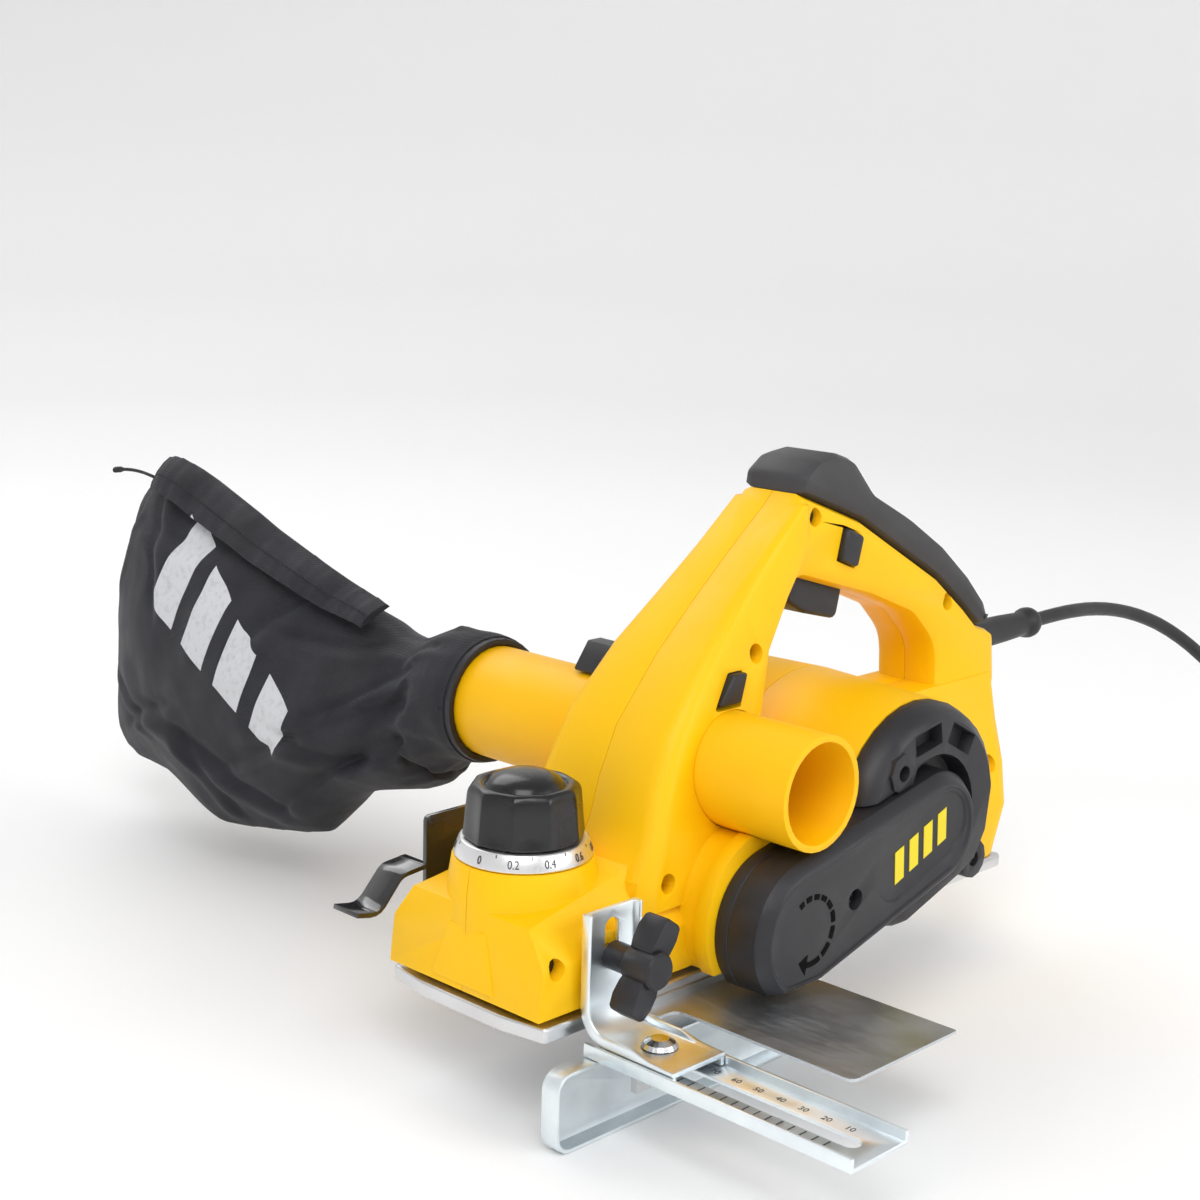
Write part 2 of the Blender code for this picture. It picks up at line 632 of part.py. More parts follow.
def cover_outline(extra=0.0):
    """Belt-cover outline, cut flat just above the bench side of the sole."""
    points = belt_loop(NOSE, TAIL, extra)
    flat = 3.0 - extra
    return [(u, max(v, flat + 0.02 * i)) if v < flat else (u, v) for i, (u, v) in enumerate(points)]


def belt_cover(mat):
    cover = slab("belt_cover", cover_outline(), "Y", COVER_FACE, COVER_BACK, mat, 3.0, 2)
    shell = slab("cover_back_edge", cover_outline(), "Y", COVER_BACK - 6.0, COVER_BACK, None)
    join(cover, shell)
    room = slab("cover_room", belt_loop((NOSE[0], 27.4, 24.6), (MOTOR_X, MOTOR_Z, 17.0)), "Y",
                COVER_FACE + 2.8, COVER_BACK + 5.0, None)
    barrel = rod("barrel_room", "Y", (MOTOR_X, 0, MOTOR_Z), BARREL_R + 1.0, -61.6, -40.0, None, 32)
    label = slab("label_recess", stadium(-28.5, 43.5, 27.0, 15.0, math.radians(20)), "Y",
                 COVER_FACE - 5.0, COVER_FACE + 0.6, None)
    bore = turned("cover_screw_hole", "Y", (-70.5, 0, 32.0),
                  [(0, -40.0), (2.6, -40.0), (2.6, COVER_FACE + 2.2), (4.4, COVER_FACE + 2.2),
                   (4.4, COVER_FACE - 5.0), (0, COVER_FACE - 5.0)], None, 12)
    cut(cover, room, barrel, label, bore)
    return cover


def cover_screw(steel):
    turned("cover_screw", "Y", (-70.5, 0, 32.0),
           [(0, -63.0), (2.2, -63.0), (2.2, COVER_FACE + 1.8), (4.0, COVER_FACE + 1.8),
            (4.0, COVER_FACE + 0.2), (0, COVER_FACE + 0.2)], steel, 12)


CAP_SCREWS = {"low": (24.5, 24.5), "high": (-36.0, 75.0)}


def motor_end_cap(mat):
    """Cap over the brush end of the barrel, let in round the belt cover."""
    at = (MOTOR_X, 0, MOTOR_Z)
    cap = turned("motor_end_cap", "Y", at,
                 [(5.0, -58.4), (10.0, -58.4), (10.0, -54.2), (13.0, -54.2), (13.0, -58.4),
                  (BARREL_R - 0.4, -58.4), (BARREL_R - 0.4, -62.0), (46.0, -68.0), (42.0, -71.0),
                  (28.0, -71.0), (28.0, -61.2), (5.0, -61.2)], mat, 32)
    for angle in (62, 100):
        window = block("vent", (-4.5, -75.0, -9.0), (4.5, -64.0, 9.0), None,
                       turn=(0.0, -math.radians(angle), 0.0))
        window.location = Vector((at[0] + 36.0 * math.cos(math.radians(angle)), -70.0,
                                  at[2] + 36.0 * math.sin(math.radians(angle)))) * MM
        cut(cap, window)
    cut(cap, slab("cap_trim", [(-60.0, 0.0), (9.0, 22.0), (20.0, 27.0), (27.0, 38.0), (30.0, 60.0), (30.0, 110.0),
                               (80.0, 110.0), (80.0, -30.0), (-60.0, -30.0)], "Y", -100.0, -50.0, None))
    low_x, low_z = CAP_SCREWS["low"]
    high_x, high_z = CAP_SCREWS["high"]
    ear = rod("ear", "Y", (low_x, 0, low_z), 8.5, -68.0, -58.4, None, 12)
    post = rod("post", "Y", (high_x, 0, high_z), 8.5, -72.5, -60.0, None, 8)
    join(cap, ear, post)
    cut(cap, slab("cover_relief", cover_outline(0.5), "Y", -90.0, -61.4, None))
    for x, z in CAP_SCREWS.values():
        cut(cap, rod("cap_screw_hole", "Y", (x, 0, z), 3.4, -80.0, -64.5, None, 12))
    return cap


def cap_screws(steel):
    for key, (x, z) in CAP_SCREWS.items():
        rod("cap_screw_" + key, "Y", (x, 0, z), 3.0, -67.0, -64.8, steel, 12)


def motor(copper, lamination, steel, black):
    at = (MOTOR_X, 0, MOTOR_Z)
    rod("armature_shaft", "Y", at, 4.0, -74.0, 46.0, steel, 12)
    ring("rotor_core", "Y", at, 4.0 + GAP, 22.0, -18.0, 24.0, lamination, 20)
    ring("commutator", "Y", at, 4.0 + GAP, 11.0, 27.0, 39.0, copper, 16)
    ring("stator", "Y", at, 23.0, BARREL_BORE - GAP, -18.0, 24.0, lamination, 28)
    ring("motor_bearing_near", "Y", at, 4.0 + GAP, 9.6, -58.0, -52.0, steel, 16)
    ring("motor_bearing_far", "Y", at, 4.0 + GAP, 9.5, 41.0, 46.6, steel, 16)
    fan = turned("cooling_fan", "Y", at,
                 [(4.0 + GAP, -24.0), (12.0, -24.0), (12.0, -30.0), (38.0, -31.0), (38.0, -33.0),
                  (4.0 + GAP, -33.0)], black, 18)
    for i in range(6):
        t = 2 * math.pi * i / 6
        vane = block("vane", (-10.0, -3.5, -0.9), (10.0, 3.5, 0.9), None, turn=(0.0, -t, 0.0))
        vane.location = Vector((at[0] + 26.0 * math.cos(t), -36.0, at[2] + 26.0 * math.sin(t))) * MM
        join(fan, vane)
    for key, side in (("upper", 1), ("lower", -1)):
        low, high = sorted((MOTOR_Z + side * 11.4, MOTOR_Z + side * 26.0))
        block("brush_" + key, (MOTOR_X - 3.5, 29.0, low), (MOTOR_X + 3.5, 37.0, high), black)


# ------------------------------------------------------------------ handle pieces

def handle_grip(mat):
    lower = [(x, z, 0.0) for x, z in GRIP_EDGE]
    upper = [(106.5, 106.0, 3.0), (100.0, 118.5, 8.0), (86.0, 132.0, 25.0), (64.5, 148.5, 30.0),
             (40.0, 163.0, 30.0), (12.0, 176.5, 20.0), (-3.0, 192.0, 10.0), (-14.0, 195.5, 10.0),
             (-27.0, 194.0, 8.0), (-36.5, 187.5, 5.0)]
    return slab("handle_grip", rounded(lower + upper), "Y", -HANDLE_HALF - 0.5, HANDLE_HALF + 0.5, mat,
                5.5, 2)


def switch_gear(black):
    slab("switch_body", rounded([(-28.5, 157.5, 1.5), (-29.5, 167.5, 1.5), (8.5, 152.5, 1.5),
                                 (2.0, 144.0, 1.5)], 2), "Y", -7.5, 10.2, black)
    slab("trigger", rounded([(-33.5, 149.0, 2.0), (-34.0, 134.0, 4.0), (-22.0, 127.5, 8.0),
                             (0.0, 122.0, 3.0), (3.2, 135.0, 3.0), (-3.0, 141.0, 3.0), (-20.0, 148.5, 3.0)], 3),
         "Y", -7.4, 7.4, black, 1.2, 1)
    slab("lock_button", rounded([(u, v, 1.5) for u, v in BUTTON], 2), "Y", -19.8, -10.3, black, 0.8, 1)


def chip_selector(mat):
    """Bar through the tower that is pushed across to choose the outlet."""
    slab("chip_selector", rounded([(-102.0, 104.9, 0.8), (-88.8, 104.9, 0.8), (-85.5, 116.6, 0.8),
                                   (-93.5, 116.6, 0.8)], 2), "Y", -31.0, 50.0, mat, 0.6, 1)


def strain_relief(mat):
    profile = [(0, 168.0), (4.4, 168.0), (6.6, 165.5), (7.4, 162.5), (7.2, 160.0), (5.6, 157.5),
               (6.4, 113.0), (5.0, 111.5), (5.0, 104.0), (7.4, 104.0), (7.4, 100.0), (0, 100.0)]
    return turned("strain_relief", "X", (0, 0, RELIEF_Z), profile, mat, 16)


# ------------------------------------------------------------------ fence and loose steel pieces

def fence_bracket(zinc):
    """Bent strap: a slotted leaf beside the body and a foot that rides in the rail."""
    edge = LEAF_Y - STRAP_T
    top, end = 46.5, -90.0
    side = rounded([(LEAF_Y, top, 0.0), (LEAF_Y, -1.2, 13.0), (end, -1.2, 0.0), (end, 0.8, 0.0),
                    (edge, 0.8, 11.0), (edge, top, 0.0)], 5)
    low, high = FENCE_X - STRAP_HALF, FENCE_X + STRAP_HALF
    strap = slab("fence_bracket", side, "X", low, high, zinc)
    for x in (low, high - 1.8):
        join(strap, block("foot_lip", (x, end, -4.2), (x + 1.8, -60.0, -0.6), None))
        join(strap, block("leaf_rim", (x, edge - 2.6, 14.0), (x + 1.8, edge + 0.5, top), None))
    slot = slab("leaf_slot", stadium(FENCE_X, STUD_Z + 4.5, 6.0, 3.5, math.pi / 2, 6), "Y", -60.0, -30.0, None)
    hole = rod("bolt_hole", "Z", (FENCE_X, BOLT_Y, 0), 3.3, -10.0, 10.0, None, 16)
    return cut(strap, slot, hole)


def fence_rail(zinc):
    """Upturned channel with a long slot, riding under the foot."""
    low, high = FENCE_X - RAIL_HALF, FENCE_X + RAIL_HALF
    floor = RAIL_FLOOR + RAIL_T
    outline = [(low, RAIL_RIM), (low, RAIL_FLOOR), (high, RAIL_FLOOR), (high, RAIL_RIM),
               (high - RAIL_T, RAIL_RIM), (high - RAIL_T, floor), (low + RAIL_T, floor),
               (low + RAIL_T, RAIL_RIM)]
    rail = slab("fence_rail", outline, "Y", RAIL_OUT, RAIL_IN, zinc)
    slot = slab("rail_slot", stadium(FENCE_X, -110.0, 47.0, 3.6, math.pi / 2, 6), "Z", -20.0, 10.0, None)
    return cut(rail, slot)


def fence_plate(zinc):
    """Pressed tray whose flat face runs along the work."""
    top = RAIL_FLOOR - GAP
    left, right = -210.0, -60.0
    outer = rounded([(left, BENCH_Z, 7.0), (right, BENCH_Z, 7.0), (right, top, 7.0), (left, top, 7.0)])
    t = 1.6
    inner = rounded([(left + t, BENCH_Z + t, 5.4), (right - t, BENCH_Z + t, 5.4), (right - t, top - t, 5.4),
                     (left + t, top - t, 5.4)])
    plate = slab("fence_plate", outer, "Y", -55.0, -46.6, zinc)
    cut(plate, slab("tray", inner, "Y", -60.0, -48.2, None))
    slot = slab("plate_slot", stadium(-144.0, -25.0, 2.2, 2.0, math.pi / 2, 4), "Y", -60.0, -40.0, None)
    return cut(plate, slot)


def fence_fixings(steel, black):
    turned("carriage_bolt", "Z", (FENCE_X, BOLT_Y, 0),
           [(0, 4.4), (3.4, 4.0), (5.8, 2.7), (6.8, 1.2), (6.8, 1.1), (2.9, 1.1), (2.9, -14.0), (0, -14.0)],
           steel, 20)
    nut = ring("rail_nut", "Z", (FENCE_X, BOLT_Y, 0), 3.2, 6.4, -11.0, RAIL_FLOOR - GAP, steel, 16)
    for side in (1, -1):
        low, high = sorted((FENCE_X + side * 5.2, FENCE_X + side * 13.0))
        join(nut, block("wing", (low, BOLT_Y - 1.4, -13.0), (high, BOLT_Y + 1.4, -7.2), None))
    rod("wing_stud", "Y", (FENCE_X, 0, STUD_Z), 3.2, -64.0, -34.0, steel, 16)
    knob = rod("wing_knob", "Y", (FENCE_X, 0, STUD_Z), 5.4, -60.0, LEAF_Y - STRAP_T - GAP, black, 16)
    join(knob, rod("hub", "Y", (FENCE_X, 0, STUD_Z), 7.0, -70.5, -55.0, None, 16, 1.0))
    outline = [(-18.5, -3.6, 1.5), (-6.0, -5.4, 1.0), (6.0, -5.4, 1.0), (18.5, -3.6, 1.5),
               (18.5, 3.6, 1.5), (6.0, 5.4, 1.0), (-6.0, 5.4, 1.0), (-18.5, 3.6, 1.5)]
    wings = slab("wings", rounded(outline, 2), "Y", -68.5, -56.5, None)
    wings.location = Vector((FENCE_X, -62.5, STUD_Z)) * MM
    wings.rotation_euler = (math.pi / 2, math.radians(-54), 0.0)
    join(knob, wings)
    cut(knob, rod("knob_bore", "Y", (FENCE_X, 0, STUD_Z), 3.2 + GAP, -64.5, -40.0, None, 16))


def guard_plate(steel):
    """Flat sheet out to the near side, turned up in a low lip along the edge of the soles."""
    outline = rounded([(-144.0, -134.0, 3.5), (-81.0, -134.0, 1.0), (-81.0, -42.4, 0.0), (-154.0, -42.4, 0.0),
                       (-154.0, -51.0, 2.0), (-144.0, -51.0, 4.0)], 3)
    plate = slab("guard_plate", outline, "Z", -1.8, -0.6, steel)
    return join(plate, block("guard_lip", (-154.0, -43.6, -1.2), (-81.0, -42.4, 2.4), None))


def rebate_stop(gloss, black):
    """Bent steel stop on the far side of the nose, held by a clamp knob."""
    face = rounded([(-186.0, 12.0, 2.0), (-139.0, 12.0, 2.0), (-139.0, 46.0, 3.0), (-163.0, 61.0, 2.0),
                    (-186.0, 61.0, 2.0)], 2)
    slot = stadium(STOP_X, STUD_Z - 1.0, 7.0, 3.6, math.pi / 2)
    near = -LEAF_Y
    stop = slab("rebate_stop", [face, slot], "Y", near, near + 2.0, gloss)
    hook = rounded([(-185.0, 41.5, 0.0), (-196.5, 40.5, 6.0), (-208.5, 27.5, 7.0), (-219.5, 29.6, 0.0),
                    (-219.9, 27.8, 0.0), (-209.0, 25.4, 8.0), (-197.5, 38.5, 6.0), (-185.0, 39.7, 0.0)], 3)
    lug = rounded([(-185.5, 19.0, 0.0), (-189.0, 18.0, 4.0), (-194.0, 9.2, 4.0), (-219.0, 10.4, 0.0),
                   (-219.2, 8.7, 0.0), (-194.8, 7.4, 4.0), (-190.2, 16.4, 4.0), (-185.5, 17.2, 0.0)], 3)
    join(stop, slab("hook", hook, "Y", near + 0.4, near + 15.0, None),
         slab("lug", lug, "Y", near + 0.4, near + 11.0, None))
    join(stop, block("hook_root", (-187.0, near + 0.2, 39.7), (-184.0, near + 15.0, 41.5), None),
         block("lug_root", (-187.0, near + 0.2, 17.2), (-184.0, near + 11.0, 19.0), None))
    knob = rod("stop_knob", "Y", (STOP_X, 0, STUD_Z), 9.0, near + 2.0 + GAP, near + 13.0, black, 20, 1.0)
    join(knob, rod("stop_stud", "Y", (STOP_X, 0, STUD_Z), 3.2, 34.0, near + 4.0, None, 16))


# ------------------------------------------------------------------ dust bag

def dust_bag(cloth, black):
    ring("bag_collar", "Y", (DUCT_X, 0, DUCT_Z), DUCT_FAR_R + GAP, COLLAR_R, COLLAR_NEAR, COLLAR_FAR,
         black, 32)
    rows = []
    sides = 24
    for low_y, low_z, high_y, high_z, half in BAG_SECTIONS:
        middle = Vector((DUCT_X, (low_y + high_y) / 2, (low_z + high_z) / 2))
        reach = Vector((0.0, (high_y - low_y) / 2, (high_z - low_z) / 2))
        row = []
        for i in range(sides):
            t = 2 * math.pi * i / sides
            across = half * math.copysign(abs(math.cos(t)) ** 0.85, math.cos(t))
            up = math.copysign(abs(math.sin(t)) ** 0.85, math.sin(t))
            row.append(tuple(middle + Vector((across, 0.0, 0.0)) + reach * up))
        rows.append(row)
    loft("dust_bag", rows, cloth)
    block("zip_pull", (DUCT_X - 2.0, 378.0, 145.5), (DUCT_X + 2.0, 402.0, 148.5), black)


# ------------------------------------------------------------------ cord

def smooth_route(points, step):
    """Evenly spaced points on a Catmull-Rom curve through the route."""
    knots = [Vector(p) for p in points]
    knots = [2 * knots[0] - knots[1]] + knots + [2 * knots[-1] - knots[-2]]
    fine = []
    for a, b, c, d in zip(knots, knots[1:], knots[2:], knots[3:]):
        for k in range(20):
            t = k / 20
            fine.append(0.5 * (2 * b + (c - a) * t + (2 * a - 5 * b + 4 * c - d) * t ** 2
                               + (3 * b - a - 3 * c + d) * t ** 3))
    fine.append(knots[-2])
    total = sum((b - a).length for a, b in zip(fine, fine[1:]))
    count = round(total / step)
    out = [fine[0]]
    walked = 0.0
    for a, b in zip(fine, fine[1:]):
        walked += (b - a).length
        if walked >= total * len(out) / count - 1e-6 and len(out) < count:
            out.append(b)
    return out + [fine[-1]]


def power_cord(rubber):
    curve = bpy.data.curves.new("power_cord", "CURVE")
    curve.dimensions = "3D"
    curve.bevel_depth = CORD_D / 2 * MM
    curve.bevel_resolution = 2
    curve.use_fill_caps = True
    points = smooth_route(CORD_ROUTE, 2.2 * CORD_D)
    spline = curve.splines.new("POLY")
    spline.points.add(len(points) - 1)
    for point, p in zip(spline.points, points):
        point.co = (*(p * MM), 1.0)
    solid_from_curve(put("power_cord", curve, rubber), rubber)
    turned("cord_coil", "Z", (COIL_X, COIL_Y, BENCH_Z),
           [(COIL_IN, COIL_TALL - 3), (COIL_IN + 3, COIL_TALL), (COIL_OUT - 3, COIL_TALL),
            (COIL_OUT, COIL_TALL - 3), (COIL_OUT, 0), (COIL_IN, 0)],
           rubber, 32)


def plug(rubber):
    """Three-pin plug lying on the coil with its pins level."""
    low = BENCH_Z + COIL_TALL + GAP
    body = slab("plug", rounded([(-25.0, -22.0, 9.0), (25.0, -22.0, 9.0), (25.0, 16.0, 6.0), (12.0, 25.0, 8.0),
                                 (-12.0, 25.0, 8.0), (-25.0, 16.0, 6.0)]), "Z", low, low + 22.0, rubber, 3.0, 1)
    body.location = Vector((PLUG_X, COIL_Y - 4.0, low + 11.0)) * MM
    bake(body)
    for dx, wide, tall, reach in ((0.0, 4.0, 8.0, 0.0), (-11.0, 6.3, 4.0, 0.0), (11.0, 6.3, 4.0, 0.0)):
        x = PLUG_X + dx
        z = low + 11.0 + (3.0 if dx == 0.0 else -3.0)
        join(body, block("pin", (x - wide / 2, COIL_Y - 44.0, z - tall / 2),
                         (x + wide / 2, COIL_Y - 20.0, z + tall / 2), None))


def build():
    yellow = material("yellow_plastic", (0.97, 0.60, 0.01), 0.0, 0.38)
    yellow_duct = material("yellow_duct", (0.97, 0.60, 0.01), 0.0, 0.38)
    black = material("black_plastic", (0.035, 0.034, 0.036), 0.0, 0.5)
    soft = material("soft_grip", (0.03, 0.03, 0.032), 0.0, 0.62)
    silver = material("silver_scale", (0.62, 0.62, 0.64), 0.9, 0.35)
    aluminium = material("sole_aluminium", (0.55, 0.55, 0.54), 0.9, 0.4)
    steel = material("bright_steel", (0.6, 0.6, 0.62), 1.0, 0.3)
    dark_steel = material("dark_screws", (0.08, 0.08, 0.085), 0.8, 0.4)
    zinc = material("zinc_plate", (0.66, 0.68, 0.72), 1.0, 0.28)
    grey_sheet = material("grey_sheet", (0.30, 0.30, 0.31), 1.0, 0.36)
    gloss = material("gloss_black_steel", (0.01, 0.01, 0.012), 0.0, 0.12)
    blade = material("blade_steel", (0.75, 0.75, 0.76), 1.0, 0.2)
    lamination = material("laminations", (0.25, 0.25, 0.27), 0.9, 0.5)
    copper = material("copper", (0.72, 0.36, 0.2), 1.0, 0.3)
    rubber = material("cord_rubber", (0.03, 0.03, 0.032), 0.0, 0.55)
    belt = material("belt_rubber", (0.02, 0.02, 0.02), 0.0, 0.7)
    cloth = material("bag_cloth", (0.025, 0.026, 0.035), 0.0, 0.85)

    housing(yellow)
    chip_duct(yellow_duct)
    housing_screws(dark_steel)
    soles(aluminium)
    depth_setting(silver, black, steel)
    cutter(aluminium, blade, steel)
    belt_drive(black, belt, steel)
    belt_cover(black)
    cover_screw(dark_steel)
    motor_end_cap(black)
    cap_screws(dark_steel)
    motor(copper, lamination, steel, black)
    handle_grip(soft)
    switch_gear(black)
    chip_selector(black)
    strain_relief(rubber)
    fence_bracket(zinc)
    fence_rail(zinc)
    fence_plate(zinc)
    fence_fixings(steel, black)
    guard_plate(grey_sheet)
    rebate_stop(gloss, black)
    dust_bag(cloth, black)
    power_cord(rubber)
    plug(rubber)
    shade()


clear()
PARTS = collection("thickness_planer")
CUTTERS = collection("cutters", hidden=True)
build()
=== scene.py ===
import json
import math

import bmesh
import bpy
from mathutils import Matrix, Vector, noise


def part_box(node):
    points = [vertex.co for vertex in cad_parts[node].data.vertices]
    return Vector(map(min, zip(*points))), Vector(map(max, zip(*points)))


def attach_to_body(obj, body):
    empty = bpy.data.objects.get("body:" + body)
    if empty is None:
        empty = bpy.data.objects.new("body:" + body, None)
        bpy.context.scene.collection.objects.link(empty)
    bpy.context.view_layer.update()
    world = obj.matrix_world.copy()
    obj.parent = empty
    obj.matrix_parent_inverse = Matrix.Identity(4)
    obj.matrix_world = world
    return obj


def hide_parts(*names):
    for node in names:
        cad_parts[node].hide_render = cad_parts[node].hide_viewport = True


MM = 0.001
BOX_FACES = [(0, 1, 2, 3), (4, 5, 6, 7), (0, 1, 5, 4), (1, 2, 6, 5), (2, 3, 7, 6), (3, 0, 4, 7)]
KNOB_X = -176.0
FENCE_X = -175.0
BAG_X, COLLAR_Z = -95.0, 79.8
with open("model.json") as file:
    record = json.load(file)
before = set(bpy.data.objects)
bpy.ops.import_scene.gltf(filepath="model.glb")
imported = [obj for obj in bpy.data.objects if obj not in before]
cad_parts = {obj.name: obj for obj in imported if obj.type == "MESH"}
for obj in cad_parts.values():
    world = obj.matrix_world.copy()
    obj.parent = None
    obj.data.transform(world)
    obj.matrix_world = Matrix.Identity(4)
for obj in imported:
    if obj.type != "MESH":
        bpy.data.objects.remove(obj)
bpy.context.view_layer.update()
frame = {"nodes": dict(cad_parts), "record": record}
body_of = {n: b for b, ns in frame["record"]["behaviour"]["bodies"].items() for n in ns}
scene = bpy.context.scene


# ------------------------------------------------------------------ camera

def make_camera():
    """Camera at a photographer's height, in front of the nose on the fence side."""
    az, pitch, roll = (math.radians(a) for a in (-45.95, 11.83, 1.46))
    back = Vector((math.sin(az) * math.cos(pitch), -math.cos(az) * math.cos(pitch), math.sin(pitch)))
    right = Vector((math.cos(az), math.sin(az), 0.0))
    up = back.cross(right)
    x_axis = right * math.cos(roll) + up * math.sin(roll)
    y_axis = up * math.cos(roll) - right * math.sin(roll)
    data = bpy.data.cameras.new("camera")
    data.sensor_width = 36.0
    data.lens = 60.6
    cam = bpy.data.objects.new("camera", data)
    scene.collection.objects.link(cam)
    turn = Matrix((x_axis, y_axis, back)).transposed().to_4x4()
    cam.matrix_world = Matrix.Translation((-0.67786, -0.5221, 0.30477)) @ turn
    scene.camera = cam


# ------------------------------------------------------------------ materials

def srgb(r, g, b):
    """Linear colour from 8-bit display values."""
    return tuple((c / 12.92 if c <= 0.04045 else ((c + 0.055) / 1.055) ** 2.4)
                 for c in (r / 255, g / 255, b / 255))


class Finish:
    """A procedural material in object space: colour, roughness and bump from noise."""

    def __init__(self, name, colour, rough, metal=0.0, coat=0.0, sheen=0.0):
        self.mat = bpy.data.materials.new(name)
        self.mat.use_nodes = True
        self.tree = self.mat.node_tree
        self.nodes, self.links = self.tree.nodes, self.tree.links
        self.bsdf = self.nodes["Principled BSDF"]
        self.set("Metallic", metal)
        self.set("Roughness", rough)
        self.set("IOR", 1.46)
        self.set("Coat Weight", coat)
        self.set("Coat Roughness", 0.12)
        self.set("Sheen Weight", sheen)
        self.bsdf.inputs["Base Color"].default_value = (*colour, 1.0)
        self.mat.diffuse_color = (*colour, 1.0)
        self.coords = self.nodes.new("ShaderNodeTexCoord").outputs["Object"]
        self.normal = None

    def set(self, socket, value):
        self.bsdf.inputs[socket].default_value = value

    def node(self, kind, **settings):
        n = self.nodes.new(kind)
        for key, value in settings.items():
            setattr(n, key, value)
        return n

    def stretched(self, scale):
        n = self.node("ShaderNodeMapping")
        n.inputs["Scale"].default_value = scale
        self.links.new(self.coords, n.inputs["Vector"])
        return n.outputs["Vector"]

    def noise(self, scale, detail=2.0, rough=0.5, stretch=None):
        n = self.node("ShaderNodeTexNoise")
        n.inputs["Scale"].default_value = scale
        n.inputs["Detail"].default_value = detail
        n.inputs["Roughness"].default_value = rough
        self.links.new(self.stretched(stretch) if stretch else self.coords, n.inputs["Vector"])
        return n.outputs["Fac"]

    def cells(self, scale):
        n = self.node("ShaderNodeTexVoronoi", feature="F1")
        n.inputs["Scale"].default_value = scale
        self.links.new(self.coords, n.inputs["Vector"])
        return n.outputs["Distance"]

    def wave(self, scale, axis, distort):
        n = self.node("ShaderNodeTexWave", bands_direction=axis, wave_profile="SIN")
        n.inputs["Scale"].default_value = scale
        n.inputs["Distortion"].default_value = distort
        self.links.new(self.coords, n.inputs["Vector"])
        return n.outputs["Fac"]

    def remap(self, source, low, high, start=0.3, end=0.7):
        n = self.node("ShaderNodeMapRange")
        for key, value in (("From Min", start), ("From Max", end), ("To Min", low), ("To Max", high)):
            n.inputs[key].default_value = value
        self.links.new(source, n.inputs["Value"])
        return n.outputs["Result"]

    def maths(self, how, a, b=0.0):
        n = self.node("ShaderNodeMath", operation=how)
        for i, v in enumerate((a, b)):
            if isinstance(v, (int, float)):
                n.inputs[i].default_value = v
            else:
                self.links.new(v, n.inputs[i])
        return n.outputs[0]

    def colours(self, source, low, high, start=0.3, end=0.7):
        n = self.node("ShaderNodeValToRGB")
        n.color_ramp.elements[0].position = start
        n.color_ramp.elements[0].color = (*low, 1.0)
        n.color_ramp.elements[1].position = end
        n.color_ramp.elements[1].color = (*high, 1.0)
        self.links.new(source, n.inputs["Fac"])
        self.links.new(n.outputs["Color"], self.bsdf.inputs["Base Color"])
        return self

    def roughness(self, source, low, high, start=0.3, end=0.7):
        self.links.new(self.remap(source, low, high, start, end), self.bsdf.inputs["Roughness"])
        return self

    def bump(self, source, depth, strength=1.0):
        n = self.node("ShaderNodeBump")
        n.inputs["Distance"].default_value = depth
        n.inputs["Strength"].default_value = strength
        self.links.new(source, n.inputs["Height"])
        if self.normal:
            self.links.new(self.normal, n.inputs["Normal"])
        self.normal = n.outputs["Normal"]
        self.links.new(self.normal, self.bsdf.inputs["Normal"])
        return self


def shade(colour, factor):
    return tuple(min(1.0, c * factor) for c in colour)


def plastic(name, colour, rough, grain=900.0, depth=0.00003, vary=0.04, coat=0.0):
    """Moulded plastic: spark-eroded grain, a slow waviness, and handling marks in the gloss."""
    m = Finish(name, colour, rough, coat=coat)
    m.colours(m.noise(14.0, 3.0), shade(colour, 1 - vary), shade(colour, 1 + vary * 0.6))
    m.roughness(m.noise(60.0, 4.0, 0.6), rough - 0.05, rough + 0.08)
    m.bump(m.noise(22.0, 1.0), 0.00012, 0.35)
    return m.bump(m.noise(grain, 2.0, 0.6), depth)


def metal(name, colour, rough, stretch=(1.0, 1.0, 1.0), depth=0.00002, blotch=0.12, scale=700.0):
    """Bare or plated metal with fine drawn lines and cloudy patches."""
    m = Finish(name, colour, rough, metal=1.0)
    m.colours(m.noise(38.0, 5.0, 0.6), shade(colour, 1 - blotch), shade(colour, 1 + blotch * 0.5), 0.25, 0.75)
    lines = m.noise(scale, 3.0, 0.65, stretch)
    m.roughness(m.maths("ADD", m.maths("MULTIPLY", m.noise(55.0, 4.0), 0.6), m.maths("MULTIPLY", lines, 0.4)),
                rough - 0.08, rough + 0.14)
    return m.bump(lines, depth)


